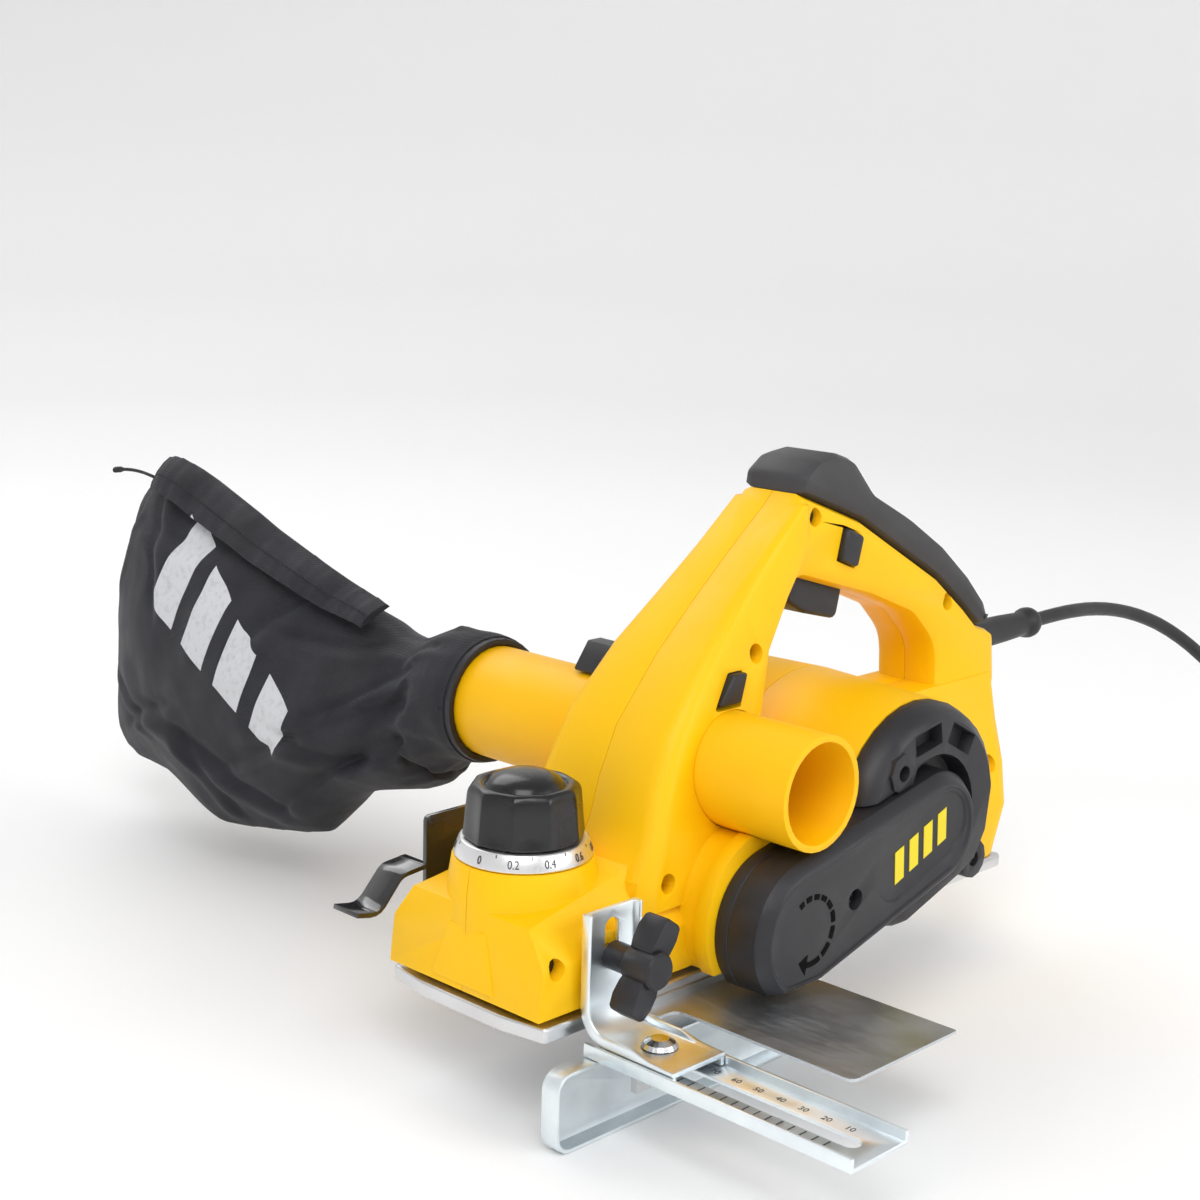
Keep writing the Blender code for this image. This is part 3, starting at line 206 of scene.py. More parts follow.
def make_finishes():
    f = {}
    f["yellow_plastic"] = plastic("body_yellow", srgb(250, 194, 0), 0.44)
    f["yellow_plastic"].set("Specular IOR Level", 0.3)
    f["yellow_duct"] = plastic("duct_yellow", srgb(252, 190, 4), 0.42)
    f["yellow_duct"].set("Specular IOR Level", 0.3)
    f["black_plastic"] = plastic("cover_black", srgb(37, 36, 40), 0.40, 1500.0, 0.00005, 0.12)
    f["bright_steel"] = metal("bright_steel", (0.62, 0.62, 0.63), 0.25)
    f["dark_screws"] = metal("dark_screws", (0.05, 0.05, 0.055), 0.38)
    f["sole_aluminium"] = metal("sole_aluminium", (0.72, 0.72, 0.73), 0.34, (0.05, 1.0, 1.0), 0.00004, 0.08)
    f["silver_scale"] = metal("silver_scale", (0.80, 0.80, 0.81), 0.33, (1.0, 1.0, 0.06), 0.00002, 0.05)
    f["zinc_plate"] = metal("zinc_plate", (0.86, 0.92, 0.97), 0.36, (0.3, 1.0, 1.0), 0.00003, 0.14, 260.0)
    f["grey_sheet"] = metal("grey_sheet", (0.66, 0.69, 0.72), 0.38, (1.0, 0.08, 1.0), 0.00002, 0.10)
    f["blade_steel"] = metal("blade_steel", (0.70, 0.71, 0.73), 0.18, (1.0, 0.1, 1.0), 0.00001)
    f["laminations"] = metal("laminations", (0.28, 0.28, 0.29), 0.45, (1.0, 30.0, 1.0), 0.00010)
    f["copper"] = metal("copper", (0.80, 0.38, 0.20), 0.35)
    gloss = Finish("gloss_black_paint", (0.012, 0.012, 0.013), 0.10, coat=1.0)
    gloss.bump(gloss.noise(160.0, 2.0), 0.00008, 0.25)
    gloss.roughness(gloss.noise(90.0, 4.0), 0.08, 0.20)
    f["gloss_black_steel"] = gloss
    f["soft_grip"] = soft_grip()
    f["cord_rubber"] = rubber("cord_rubber", srgb(34, 34, 36), 0.46)
    f["belt_rubber"] = rubber("belt_rubber", srgb(28, 28, 29), 0.70)
    f["bag_cloth"] = cloth()
    f["gloss_plastic"] = plastic("knob_black", srgb(17, 16, 18), 0.24, 1200.0, 0.00001, 0.08, 0.2)
    # Near-black with its specular turned down: painted shade for the arrow's engraved grooves, not a printed
    # colour.
    f["painted_groove_shade"] = plastic("painted_groove_shade", (0.0015, 0.0015, 0.0015), 0.6)
    f["painted_groove_shade"].set("Specular IOR Level", 0.08)
    f["mark_yellow"] = plastic("mark_yellow", srgb(236, 214, 30), 0.45)
    f["mark_grey"] = metal("mark_grey", (0.10, 0.10, 0.105), 0.5)
    f["zip_tape"] = rubber("zip_tape", srgb(24, 24, 28), 0.6)
    return f


def soft_grip():
    m = Finish("soft_grip", srgb(57, 56, 58), 0.58)
    m.colours(m.noise(18.0, 3.0), srgb(50, 49, 51), srgb(64, 63, 65))
    m.roughness(m.noise(45.0, 4.0), 0.50, 0.66)
    m.bump(m.cells(1500.0), 0.00006)
    return m


def rubber(name, colour, rough):
    m = Finish(name, colour, rough)
    m.colours(m.noise(30.0, 3.0), shade(colour, 0.85), shade(colour, 1.2))
    m.roughness(m.noise(80.0, 4.0), rough - 0.06, rough + 0.1)
    return m.bump(m.noise(1400.0, 2.0), 0.00002)


def cloth():
    """Plain-woven polyester with slack and lint, and a plain silver print of slanted bars on the near side."""
    m = Finish("bag_cloth", srgb(28, 28, 34), 0.74, sheen=0.06)
    m.set("Sheen Roughness", 0.45)
    warp = m.wave(420.0, "Z", 0.4)
    weft = m.wave(420.0, "Y", 0.4)
    weave = m.maths("MULTIPLY", warp, weft)
    fade = m.noise(26.0, 5.0, 0.6)
    shade_by = m.maths("ADD", m.maths("MULTIPLY", fade, 0.75), m.maths("MULTIPLY", weave, 0.25))
    m.colours(shade_by, srgb(17, 17, 22), srgb(38, 38, 47), 0.2, 0.8)
    m.roughness(m.noise(40.0, 4.0), 0.60, 0.82)
    m.bump(m.noise(70.0, 4.0, 0.6), 0.0006, 0.5)
    m.bump(weave, 0.00012)
    split = m.node("ShaderNodeSeparateXYZ")
    m.links.new(m.coords, split.inputs[0])
    x, y, z = split.outputs
    turn = math.radians(33.0)
    dy, dz = m.maths("SUBTRACT", y, 0.212), m.maths("SUBTRACT", z, 0.048)
    along = m.maths("ADD", m.maths("MULTIPLY", dy, math.cos(turn)), m.maths("MULTIPLY", dz, math.sin(turn)))
    up = m.maths("SUBTRACT", m.maths("MULTIPLY", dz, math.cos(turn)), m.maths("MULTIPLY", dy, math.sin(turn)))
    lean = m.maths("ADD", along, m.maths("MULTIPLY", up, -0.22))
    bars = m.maths("LESS_THAN", m.maths("FRACT", m.maths("DIVIDE", lean, 0.033)), 0.66)
    tall = m.maths("ADD", 0.012, m.maths("MULTIPLY", along, 0.10))
    inside = m.maths("LESS_THAN", m.maths("ABSOLUTE", up), tall)
    start = m.maths("GREATER_THAN", lean, 0.0)
    end = m.maths("LESS_THAN", lean, 0.132)
    near = m.maths("LESS_THAN", x, -0.105)
    mask = m.maths("MULTIPLY", start, end)
    for limit in (near, inside, bars):
        mask = m.maths("MULTIPLY", mask, limit)
    worn = m.maths("MULTIPLY", mask, m.remap(m.noise(300.0, 3.0), 0.80, 1.0, 0.25, 0.5))
    mix = m.node("ShaderNodeMix", data_type="RGBA")
    m.links.new(worn, mix.inputs["Factor"])
    m.links.new(m.bsdf.inputs["Base Color"].links[0].from_socket, mix.inputs[6])
    mix.inputs[7].default_value = (*srgb(208, 209, 212), 1.0)
    m.links.new(mix.outputs[2], m.bsdf.inputs["Base Color"])
    return m


FIN = make_finishes()


# ------------------------------------------------------------------ pieces

SLOT = {n: ob.data.materials[0].name.split(".")[0] for n, ob in frame["nodes"].items()}


def place(name, mesh_data, mat, body, angle=35.0):
    """Adds a finished piece that moves with a body."""
    ob = bpy.data.objects.new(name, mesh_data)
    scene.collection.objects.link(ob)
    if mat is not None:
        mesh_data.materials.clear()
        mesh_data.materials.append(FIN[mat].mat)
    if hasattr(mesh_data, "polygons"):
        smooth(ob, angle)
    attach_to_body(ob, body)
    return ob


def attach(child, parent):
    child.parent = parent
    child.matrix_parent_inverse = parent.matrix_world.inverted()


def smooth(ob, angle=35.0):
    bm = bmesh.new()
    bm.from_mesh(ob.data)
    limit = math.radians(angle)
    for face in bm.faces:
        face.smooth = True
    for edge in bm.edges:
        edge.smooth = edge.calc_face_angle(0.0) < limit
    bm.to_mesh(ob.data)
    bm.free()


def mesh_of(name, bm):
    data = bpy.data.meshes.new(name)
    bmesh.ops.recalc_face_normals(bm, faces=bm.faces)
    bm.to_mesh(data)
    bm.free()
    return data


def bake(ob):
    """Applies an object's modifiers to its own mesh."""
    bpy.context.view_layer.update()
    graph = bpy.context.evaluated_depsgraph_get()
    data = bpy.data.meshes.new_from_object(ob.evaluated_get(graph))
    ob.modifiers.clear()
    ob.data = data


def cad_copy(node):
    """The node's shape as a clean mesh of flat faces, ready for edge rounding."""
    bm = bmesh.new()
    bm.from_mesh(frame["nodes"][node].data)
    bmesh.ops.remove_doubles(bm, verts=bm.verts, dist=2e-6)
    bmesh.ops.dissolve_limit(bm, angle_limit=math.radians(0.6), verts=bm.verts, edges=bm.edges,
                             delimit={"NORMAL"})
    points = [v.co.copy() for v in bm.verts]
    bm.verts.index_update()
    faces = [[v.index for v in f.verts] for f in bm.faces]
    bm.free()
    data = bpy.data.meshes.new(node + "_shape")
    data.from_pydata(points, [], faces)
    return data


def rounded_node(node, width):
    """Stands for a CAD node with its edges broken by a small radius."""
    ob = bpy.data.objects.new(node + "_piece", cad_copy(node))
    scene.collection.objects.link(ob)
    mod = ob.modifiers.new("edges", "BEVEL")
    mod.width = width * MM
    mod.segments = 2
    mod.limit_method = "ANGLE"
    mod.angle_limit = math.radians(32.0)
    mod.harden_normals = False
    mod.use_clamp_overlap = True
    bake(ob)
    data = ob.data
    bpy.data.objects.remove(ob)
    piece = place(node + "_piece", data, SLOT[node], body_of[node], angle=40.0)
    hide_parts(node)


# ------------------------------------------------------------------ cord

CORD_R = 3.5
RELIEF_Z = 96.5
COIL_X, COIL_Y, COIL_Z = 292.0, -176.0, -33.4
FLOOR_Z = -37.0
PLUG_X, PLUG_Y, PLUG_Z = 326.0, -179.0, -4.7
ROUTE = [  # from the housing, in a sagging arc, down to the bench and along it to the coil
    (168.3, 0.0, 96.5), (186.0, 0.0, 96.8), (204.0, 0.3, 96.4), (224.0, 0.8, 94.8), (246.0, 0.6, 91.4),
    (268.0, -1.0, 85.8), (290.0, -4.5, 77.2), (310.0, -10.5, 65.0), (327.0, -19.0, 49.5),
    (340.0, -29.5, 31.5), (348.5, -41.5, 12.0), (352.0, -55.0, -7.0), (352.0, -70.0, -22.5),
    (349.0, -87.0, -31.0), (344.6, -105.0, -33.4), (340.4, -124.0, -33.4), (337.3, -142.0, -33.4),
    (335.8, -159.0, -33.4),
]


def through(points, step):
    """Evenly spaced points on a smooth curve through the given ones."""
    knots = [Vector(p) for p in points]
    knots = [2 * knots[0] - knots[1]] + knots + [2 * knots[-1] - knots[-2]]
    fine = []
    for a, b, c, d in zip(knots, knots[1:], knots[2:], knots[3:]):
        for k in range(16):
            t = k / 16
            fine.append(0.5 * (2 * b + (c - a) * t + (2 * a - 5 * b + 4 * c - d) * t ** 2
                               + (3 * b - a - 3 * c + d) * t ** 3))
    fine.append(knots[-2])
    out, walked = [fine[0]], 0.0
    for a, b in zip(fine, fine[1:]):
        walked += (b - a).length
        if walked >= step * len(out):
            out.append(b)
    if (out[-1] - fine[-1]).length > step * 0.4:
        out.append(fine[-1])
    return out


def coil_points(turns):
    """Flat spirals in layers, wound clockwise from the side where the cord arrives."""
    keys = [(0.0, 43.3, 0.0), (2.15, 27.9, 0.0), (2.5, 27.6, 1.0), (4.7, 43.3, 1.0), (5.0, 43.3, 2.0),
            (7.2, 27.9, 2.0), (9.0, 27.6, 2.0)]
    points = []
    for i in range(1, int(turns * 20) + 1):
        t = i / 20
        for (t0, r0, h0), (t1, r1, h1) in zip(keys, keys[1:]):
            if t0 <= t <= t1:
                u = (t - t0) / (t1 - t0)
                s = u * u * (3 - 2 * u)
                r, h = r0 + (r1 - r0) * u, h0 + (h1 - h0) * s
                break
        a = -2 * math.pi * t
        points.append(Vector((COIL_X + r * math.cos(a), COIL_Y + r * math.sin(a), COIL_Z + 7.1 * h)))
    return points


def make_cord():
    """The whole lead on one line: down to the bench, round the coil, and over it to the plug."""
    line = through(ROUTE, 10.0) + coil_points(6.5)
    line += [Vector(p) for p in ((258.3, -170.0, -18.4), (258.5, -160.0, -16.6), (260.0, -150.5, -14.4),
                                 (264.0, -141.0, -12.2), (270.4, -132.6, -10.2), (279.0, -126.6, -8.4),
                                 (289.0, -123.6, -7.0), (300.0, -124.0, -6.0), (310.0, -127.8, -5.3),
                                 (318.0, -134.5, -4.9), (323.4, -143.0, -4.7), (325.6, -152.0, -4.7),
                                 (326.0, -162.0, -4.7))]
    data = bpy.data.curves.new("mains_lead", "CURVE")
    data.dimensions = "3D"
    data.bevel_depth = CORD_R * MM
    data.bevel_resolution = 5
    data.use_fill_caps = True
    spline = data.splines.new("POLY")
    spline.points.add(len(line) - 1)
    for point, p in zip(spline.points, line):
        point.co = (*(p * MM), 1.0)
    spline.use_smooth = True
    lead = place("mains_lead", data, "cord_rubber", "body")
    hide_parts("power_cord", "cord_coil")
    return lead


def turned(name, profile, axis, at, mat, body, sides):
    """A solid turned round an axis: profile is (radius, height) from one end to the other."""
    bm = bmesh.new()
    rings = []
    for r, h in profile:
        if r <= 0:
            rings.append([bm.verts.new((0, 0, h * MM))])
        else:
            rings.append([bm.verts.new((r * MM * math.cos(2 * math.pi * i / sides),
                                        r * MM * math.sin(2 * math.pi * i / sides), h * MM))
                          for i in range(sides)])
    for a, b in zip(rings, rings[1:]):
        for i in range(sides):
            j = (i + 1) % sides
            loop = [a[i % len(a)], a[j % len(a)], b[j % len(b)], b[i % len(b)]]
            loop = list(dict.fromkeys(loop))
            if len(loop) > 2:
                bm.faces.new(loop)
    turn = {"Y": Matrix.Rotation(-math.pi / 2, 4, "X"), "X": Matrix.Rotation(math.pi / 2, 4, "Y")}[axis]
    bmesh.ops.transform(bm, matrix=Matrix.Translation(Vector(at) * MM) @ turn, verts=bm.verts)
    return place(name, mesh_of(name, bm), mat, body, angle=40.0)


def make_relief():
    """Bend protector: a long tapered sleeve with a bead at its end."""
    profile = [(0, 100.0), (7.4, 100.0), (7.4, 104.0), (5.0, 104.2), (5.0, 111.5), (6.0, 112.4), (7.2, 113.0),
               (7.35, 114.5), (7.1, 116.0), (6.9, 128.0), (6.6, 140.0), (6.2, 150.0), (5.9, 155.0), (5.8, 157.6),
               (6.2, 158.4), (7.2, 160.0), (7.5, 162.0), (7.3, 164.2), (6.5, 166.0), (5.0, 167.4), (4.0, 168.0),
               (0, 168.0)]
    sleeve = turned("bend_protector", profile, "X", (0, 0, RELIEF_Z), "cord_rubber", "body", 40)
    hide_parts("strain_relief")
    return sleeve


def make_plug():
    """Moulded three-pin plug, seen from above as a rounded shield."""
    bm = bmesh.new()
    outline = []
    for t in range(40):
        a = 2 * math.pi * t / 40
        c, s = math.cos(a), math.sin(a)
        wide = 25.0 - 5.5 * max(0.0, s) ** 2
        outline.append((PLUG_X + wide * math.copysign(abs(c) ** 0.55, c),
                        PLUG_Y + 23.5 * math.copysign(abs(s) ** 0.6, s)))
    rows = []
    for shrink, z in ((2.6, -15.4), (0.7, -14.2), (0.0, -11.5), (0.0, -1.0), (0.9, 3.6), (3.2, 6.0), (9.0, 6.6)):
        rows.append([bm.verts.new(((PLUG_X + (x - PLUG_X) * (1 - shrink / 25)) * MM,
                                   (PLUG_Y + (y - PLUG_Y) * (1 - shrink / 24)) * MM, z * MM)) for x, y in outline])
    for a, b in zip(rows, rows[1:]):
        for i in range(40):
            j = (i + 1) % 40
            bm.faces.new((a[i], a[j], b[j], b[i]))
    bm.faces.new(rows[0])
    bm.faces.new(rows[-1])
    body = place("plug_body", mesh_of("plug_body", bm), "cord_rubber", "body", angle=50.0)
    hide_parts("plug")
    for dx, dz, wide, tall in ((0.0, 3.0, 4.0, 8.0), (-11.0, -3.0, 6.3, 4.0), (11.0, -3.0, 6.3, 4.0)):
        bm = bmesh.new()
        bmesh.ops.create_cube(bm, size=1.0)
        bmesh.ops.scale(bm, vec=(wide * MM, 21.0 * MM, tall * MM), verts=bm.verts)
        bmesh.ops.bevel(bm, geom=bm.edges[:], offset=0.5 * MM, segments=2, affect="EDGES")
        bmesh.ops.translate(bm, vec=Vector((PLUG_X + dx, PLUG_Y - 32.0, PLUG_Z + dz)) * MM, verts=bm.verts)
        pin = place(f"plug_pin_{int(dx) + 11}", mesh_of("pin", bm), "bright_steel", "body")
        attach(pin, body)
    return body


# ------------------------------------------------------------------ hard pieces

def loft(rows):
    """Skins a list of rings, each a list of points in millimetres, and caps both ends."""
    bm = bmesh.new()
    rings = [[bm.verts.new(Vector(p) * MM) for p in row] for row in rows]
    n = len(rings[0])
    for a, b in zip(rings, rings[1:]):
        for i in range(n):
            j = (i + 1) % n
            bm.faces.new((a[i], a[j], b[j], b[i]))
    bm.faces.new(rings[0])
    bm.faces.new(rings[-1])
    return bm


def carved(name, bm, cutters):
    """The mesh with each cutter mesh taken out of it."""
    ob = bpy.data.objects.new(name, mesh_of(name, bm))
    scene.collection.objects.link(ob)
    tools = []
    for cutter in cutters:
        tool = bpy.data.objects.new("tool", mesh_of("tool", cutter))
        scene.collection.objects.link(tool)
        tools.append(tool)
        mod = ob.modifiers.new("cut", "BOOLEAN")
        mod.operation = "DIFFERENCE"
        mod.solver = "EXACT"
        mod.object = tool
    bake(ob)
    data = ob.data
    for o in tools + [ob]:
        bpy.data.objects.remove(o)
    return data


def round_edges(data, width, segments=2, angle=32.0):
    ob = bpy.data.objects.new("soften", data)
    scene.collection.objects.link(ob)
    mod = ob.modifiers.new("edges", "BEVEL")
    mod.width = width * MM
    mod.segments = segments
    mod.limit_method = "ANGLE"
    mod.angle_limit = math.radians(angle)
    bake(ob)
    data = ob.data
    bpy.data.objects.remove(ob)
    return data


def two_circles(a, b, grow=0.0):
    """Outline round two circles, each (x, z, radius), as (x, z) points."""
    (ax, az, ar), (bx, bz, br) = a, b
    ar, br = ar + grow, br + grow
    line = Vector((bx - ax, bz - az))
    heading = math.atan2(line.y, line.x)
    lean = math.acos((ar - br) / line.length)
    steps = 28
    points = []
    for k in range(steps + 1):
        t = heading + lean + (2 * math.pi - 2 * lean) * k / steps
        points.append((ax + ar * math.cos(t), az + ar * math.sin(t)))
    for k in range(steps + 1):
        t = heading - lean + 2 * lean * k / steps
        points.append((bx + br * math.cos(t), bz + br * math.sin(t)))
    return points


def ring(x, y, z, r, sides):
    """Points of a circle that faces along Y."""
    return [(x + r * math.cos(2 * math.pi * i / sides), y, z + r * math.sin(2 * math.pi * i / sides))
            for i in range(sides)]


NOSE, TAIL = (-98.5, 25.4, 29.0), (-13.0, 47.5, 24.5)
COVER_FACE, COVER_BACK = -78.0, -54.4


def cover_ring(y, grow):
    flat = 3.0 - min(grow, 0.0) * 0.6
    return [(x, y, max(z, flat)) for x, z in two_circles(NOSE, TAIL, grow)]


def make_cover():
    """Belt cover: drafted wall, wide chamfer, raised rim, screw hole, and a sunk panel with four plain bars."""
    rows = [cover_ring(y, g) for y, g in (
        (COVER_BACK, 0.0), (-60.0, -0.05), (-60.2, -0.35), (-60.9, -0.35), (-61.1, -0.1), (-73.4, -0.5),
        (-77.3, -3.6), (COVER_FACE, -4.6), (COVER_FACE, -6.0), (-77.4, -6.5), (-77.0, -6.9), (-77.0, -12.0))]
    bm = loft(rows)
    angle = math.radians(19.5)
    along = Vector((math.cos(angle), math.sin(angle)))
    mid = Vector((-27.0, 44.0))
    a, b = mid - along * 18.0, mid + along * 18.0
    cutters = []
    outer = two_circles((a.x, a.y, 13.6), (b.x, b.y, 13.6))
    inner = two_circles((a.x, a.y, 12.6), (b.x, b.y, 12.6))
    cutters.append(loft([[(x, -75.9, z) for x, z in inner], [(x, -77.1, z) for x, z in outer],
                         [(x, -80.0, z) for x, z in outer]]))
    cutters.append(loft([ring(-70.5, y, 32.0, 4.3, 32) for y in (-84.0, -72.6)]))
    data = round_edges(carved("belt_cover_shell", bm, cutters), 0.3, 2, 28.0)
    cover = place("belt_cover_shell", data, "black_plastic", "body", angle=32.0)
    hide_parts("belt_cover")
    bm = bmesh.new()
    across = Vector((-along.y, along.x))
    for k in range(4):
        mid_bar = mid + along * (-15.0 + 10.0 * k)
        corners = [mid_bar + along * (u + 0.28 * v) + across * v
                   for u, v in ((-3.0, -6.5), (3.0, -6.5), (3.0, 6.5), (-3.0, 6.5))]
        add_faces(bm, [(c.x, y, c.y) for y in (-75.85, -76.15) for c in corners],
                  BOX_FACES)
    place("cover_bars", mesh_of("cover_bars", bm), "mark_yellow", "body")


def arc_piece(bm, cx, cz, r, wide, start, end, y):
    """One raised dash of a circle, from one angle to another."""
    rows, steps, thick = [], 5, 0.3
    for k in range(steps + 1):
        t = math.radians(start + (end - start) * k / steps)
        c, s = math.cos(t), math.sin(t)
        rows.append([bm.verts.new(Vector(p) * MM) for p in (
            (cx + (r - wide / 2) * c, y, cz + (r - wide / 2) * s),
            (cx + (r + wide / 2) * c, y, cz + (r + wide / 2) * s),
            (cx + (r + wide / 2) * c, y - thick, cz + (r + wide / 2) * s),
            (cx + (r - wide / 2) * c, y - thick, cz + (r - wide / 2) * s))])
    for a, b in zip(rows, rows[1:]):
        for i in range(4):
            bm.faces.new((a[i], a[(i + 1) % 4], b[(i + 1) % 4], b[i]))
    bm.faces.new(rows[0])
    bm.faces.new(rows[-1])


def make_arrow():
    """Dashed arrow that shows which way the drum turns; its near-black, barely reflective dashes are painted shade
    standing for the shade in engraved grooves.
    """
    bm = bmesh.new()
    cx, cz, y = -97.5, 26.0, -76.92
    at = 124.0
    for sweep in (11.0, 13.0, 13.0, 14.0, 16.0, 20.0, 22.0, 24.0, 36.0):
        arc_piece(bm, cx, cz, 13.4, 2.2, at, at - sweep, y)
        at -= sweep + 7.0
    at += 7.0
    tip = math.radians(at - 20.0)
    root = math.radians(at + 1.0)
    out = Vector((math.cos(root), math.sin(root)))
    corners = [(cx + 13.4 * math.cos(tip), cz + 13.4 * math.sin(tip)),
               (cx + 9.4 * out.x, cz + 9.4 * out.y), (cx + 17.4 * out.x, cz + 17.4 * out.y)]
    low = [bm.verts.new(Vector((x, y, z)) * MM) for x, z in corners]
    high = [bm.verts.new(Vector((x, y - 0.3, z)) * MM) for x, z in corners]
    for i in range(3):
        bm.faces.new((low[i], low[(i + 1) % 3], high[(i + 1) % 3], high[i]))
    bm.faces.new(low)
    bm.faces.new(high)
    place("turning_arrow", mesh_of("turning_arrow", bm), "painted_groove_shade", "body")


def make_knob():
    """Depth knob: ten flat facets, a rolled shoulder, a groove and a glossy dome."""
    base = 62.8
    n, per = 10, 6
    sides = n * per
    rows = []
    profile = ((22.4, 0.0, 0.3), (23.2, 0.7, 0.6), (23.25, 1.6, 1.0), (22.7, 6.0, 1.0), (22.2, 12.0, 1.0),
               (21.7, 17.0, 1.0), (21.2, 18.6, 0.9), (20.3, 19.8, 0.7), (19.0, 20.5, 0.35), (17.4, 20.6, 0.0),
               (16.3, 20.2, 0.0), (15.8, 19.5, 0.0), (15.3, 19.5, 0.0), (14.9, 20.3, 0.0), (13.6, 21.9, 0.0),
               (11.6, 23.2, 0.0), (8.6, 24.3, 0.0), (5.0, 24.85, 0.0), (1.6, 25.0, 0.0))
    for r, h, facet in profile:
        row = []
        for i in range(sides):
            t = 2 * math.pi * i / sides
            local = (i % per) / per * (2 * math.pi / n) - math.pi / n
            flat = math.cos(math.pi / n) / math.cos(local)
            scoop = 1.0 - 0.012 * math.cos(local * n / 2) ** 2
            k = 1.0 - facet + facet * flat * scoop
            row.append((KNOB_X + r * k * math.cos(t), r * k * math.sin(t), base + h))
        rows.append(row)
    data = round_edges(mesh_of("knob", loft(rows)), 0.28, 2, 24.0)
    knob = place("depth_knob_cap", data, "gloss_plastic", "knob", angle=30.0)
    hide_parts("depth_knob")


def text_mesh(body, size):
    data = bpy.data.curves.new("t", "FONT")
    data.body = body
    data.size = size
    data.align_x = "CENTER"
    data.align_y = "CENTER"
    data.extrude = 0.06
    data.resolution_u = 3
    ob = bpy.data.objects.new("t", data)
    scene.collection.objects.link(ob)
    bpy.context.view_layer.update()
    mesh = bpy.data.meshes.new_from_object(ob.evaluated_get(bpy.context.evaluated_depsgraph_get()))
    points = [v.co.copy() for v in mesh.vertices]
    faces = [list(p.vertices) for p in mesh.polygons]
    bpy.data.objects.remove(ob)
    bpy.data.meshes.remove(mesh)
    return points, faces


def add_faces(bm, points, faces):
    verts = [bm.verts.new(Vector(p) * MM) for p in points]
    for f in faces:
        if len(set(f)) > 2:
            try:
                bm.faces.new([verts[i] for i in f])
            except ValueError:
                pass


def make_dial():
    """Depth figures, and a short line half way between them, printed round the silver ring."""
    bm = bmesh.new()

    def on_ring(angle, x, up, out):
        r = 25.64 - 0.352 * up + out
        t = math.radians(angle) + x / 25.6
        return (KNOB_X + r * math.cos(t), r * math.sin(t), 59.1 + up)

    for k in range(11):
        label = "0" if k == 0 else ("%.1f" % (0.2 * k))
        points, faces = text_mesh(label, 4.3)
        angle = 187.0 + 31.0 * k
        add_faces(bm, [on_ring(angle, p.x * 0.86, p.y, 0.03 + p.z) for p in points], faces)
        line = [on_ring(angle + 15.5, x, up, out) for out in (0.0, 0.1) for x, up in
                ((-0.17, 1.95), (0.17, 1.95), (0.17, 3.05), (-0.17, 3.05))]
        add_faces(bm, line, BOX_FACES)
    place("depth_figures", mesh_of("depth_figures", bm), "mark_grey", "body")


def make_ruler():
    """Ruler on the fence rail: a line each 5 mm, a longer one and a figure each 10 mm."""
    bm = bmesh.new()
    top, x = -4.5, -179.6
    for k in range(19):
        y = -62.0 - 5.0 * k
        long = 7.2 if k % 2 == 0 else 4.4
        pts = [(px, y + dy, top + dz) for dz in (0.0, 0.08) for px, dy in
               ((x, -0.28), (x, 0.28), (x - long, 0.28), (x - long, -0.28))]
        add_faces(bm, pts, BOX_FACES)
    for k in range(9):
        y = -71.0 - 10.0 * k
        points, faces = text_mesh(str(10 * (9 - k)), 4.0)
        add_faces(bm, [(-167.5 + p.y, y - p.x, top + 0.02 + p.z) for p in points], faces)
    place("rail_ruler", mesh_of("rail_ruler", bm), "mark_grey", "fence")


def strap_path():
    """Centre of the strap's inner face: down the leaf, round the bend, out along the foot."""
    points = [((-44.0, z), (-1.0, 0.0)) for z in (46.5, 38.0, 28.0, 18.0, 11.8)]
    for k in range(1, 10):
        t = math.radians(90.0 * k / 9)
        points.append(((-57.0 + 13.0 * math.cos(t), 11.8 - 13.0 * math.sin(t)), (-math.cos(t), math.sin(t))))
    points += [((y, -1.2), (0.0, 1.0)) for y in (-62.0, -70.0, -78.0, -86.0, -90.0)]
    return points


def make_bracket():
    """Fence bracket: pressed strap with rolled edges, slot and square-shouldered foot."""
    half, t = 13.6, 2.0
    rows = []
    for (y, z), (ny, nz) in strap_path():
        rise = 2.5 if y > -70.0 else max(0.0, 2.5 * (1.0 - (-70.0 - y) / 10.0))
        section = [(-half, 0.0), (-half - 0.35, t * 0.6), (-half - 0.2, t + rise * 0.8), (-half + 0.6, t + rise),
                   (-half + 1.6, t + rise * 0.85), (-half + 2.3, t + rise * 0.25), (-half + 3.4, t), (0.0, t),
                   (half - 3.4, t), (half - 2.3, t + rise * 0.25), (half - 1.6, t + rise * 0.85),
                   (half - 0.6, t + rise), (half + 0.2, t + rise * 0.8), (half + 0.35, t * 0.6), (half, 0.0),
                   (0.0, 0.0)]
        rows.append([(FENCE_X + w, y + ny * n, z + nz * n) for w, n in section])
    slot = two_circles((FENCE_X, 27.0, 3.5), (FENCE_X, 39.0, 3.51))
    cutter = loft([[(x, y, z) for x, z in slot] for y in (-55.0, -38.0)])
    hole = loft([[(x, y, z) for x, _, y in ring(FENCE_X, 0.0, -71.0, 3.3, 24)] for z in (-9.0, 6.0)])
    data = round_edges(carved("bracket", loft(rows), [cutter, hole]), 0.35, 2, 40.0)
    piece = place("fence_strap", data, "zinc_plate", "bracket", angle=38.0)
    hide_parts("fence_bracket")
    for k, side in enumerate((-1, 1)):
        rows = []
        x0, x1 = sorted((FENCE_X + side * half, FENCE_X + side * (half - 1.8)))
        for y, low in ((-90.0, -4.0), (-84.0, -4.2), (-60.0, -4.2)):
            rows.append([(x0, y, low), (x1, y, low), (x1, y, -1.0), (x0, y, -1.0)])
        lip = place(f"foot_lip_{k}", round_edges(mesh_of("lip", loft(rows)), 0.3), "zinc_plate", "bracket")
        attach(lip, piece)


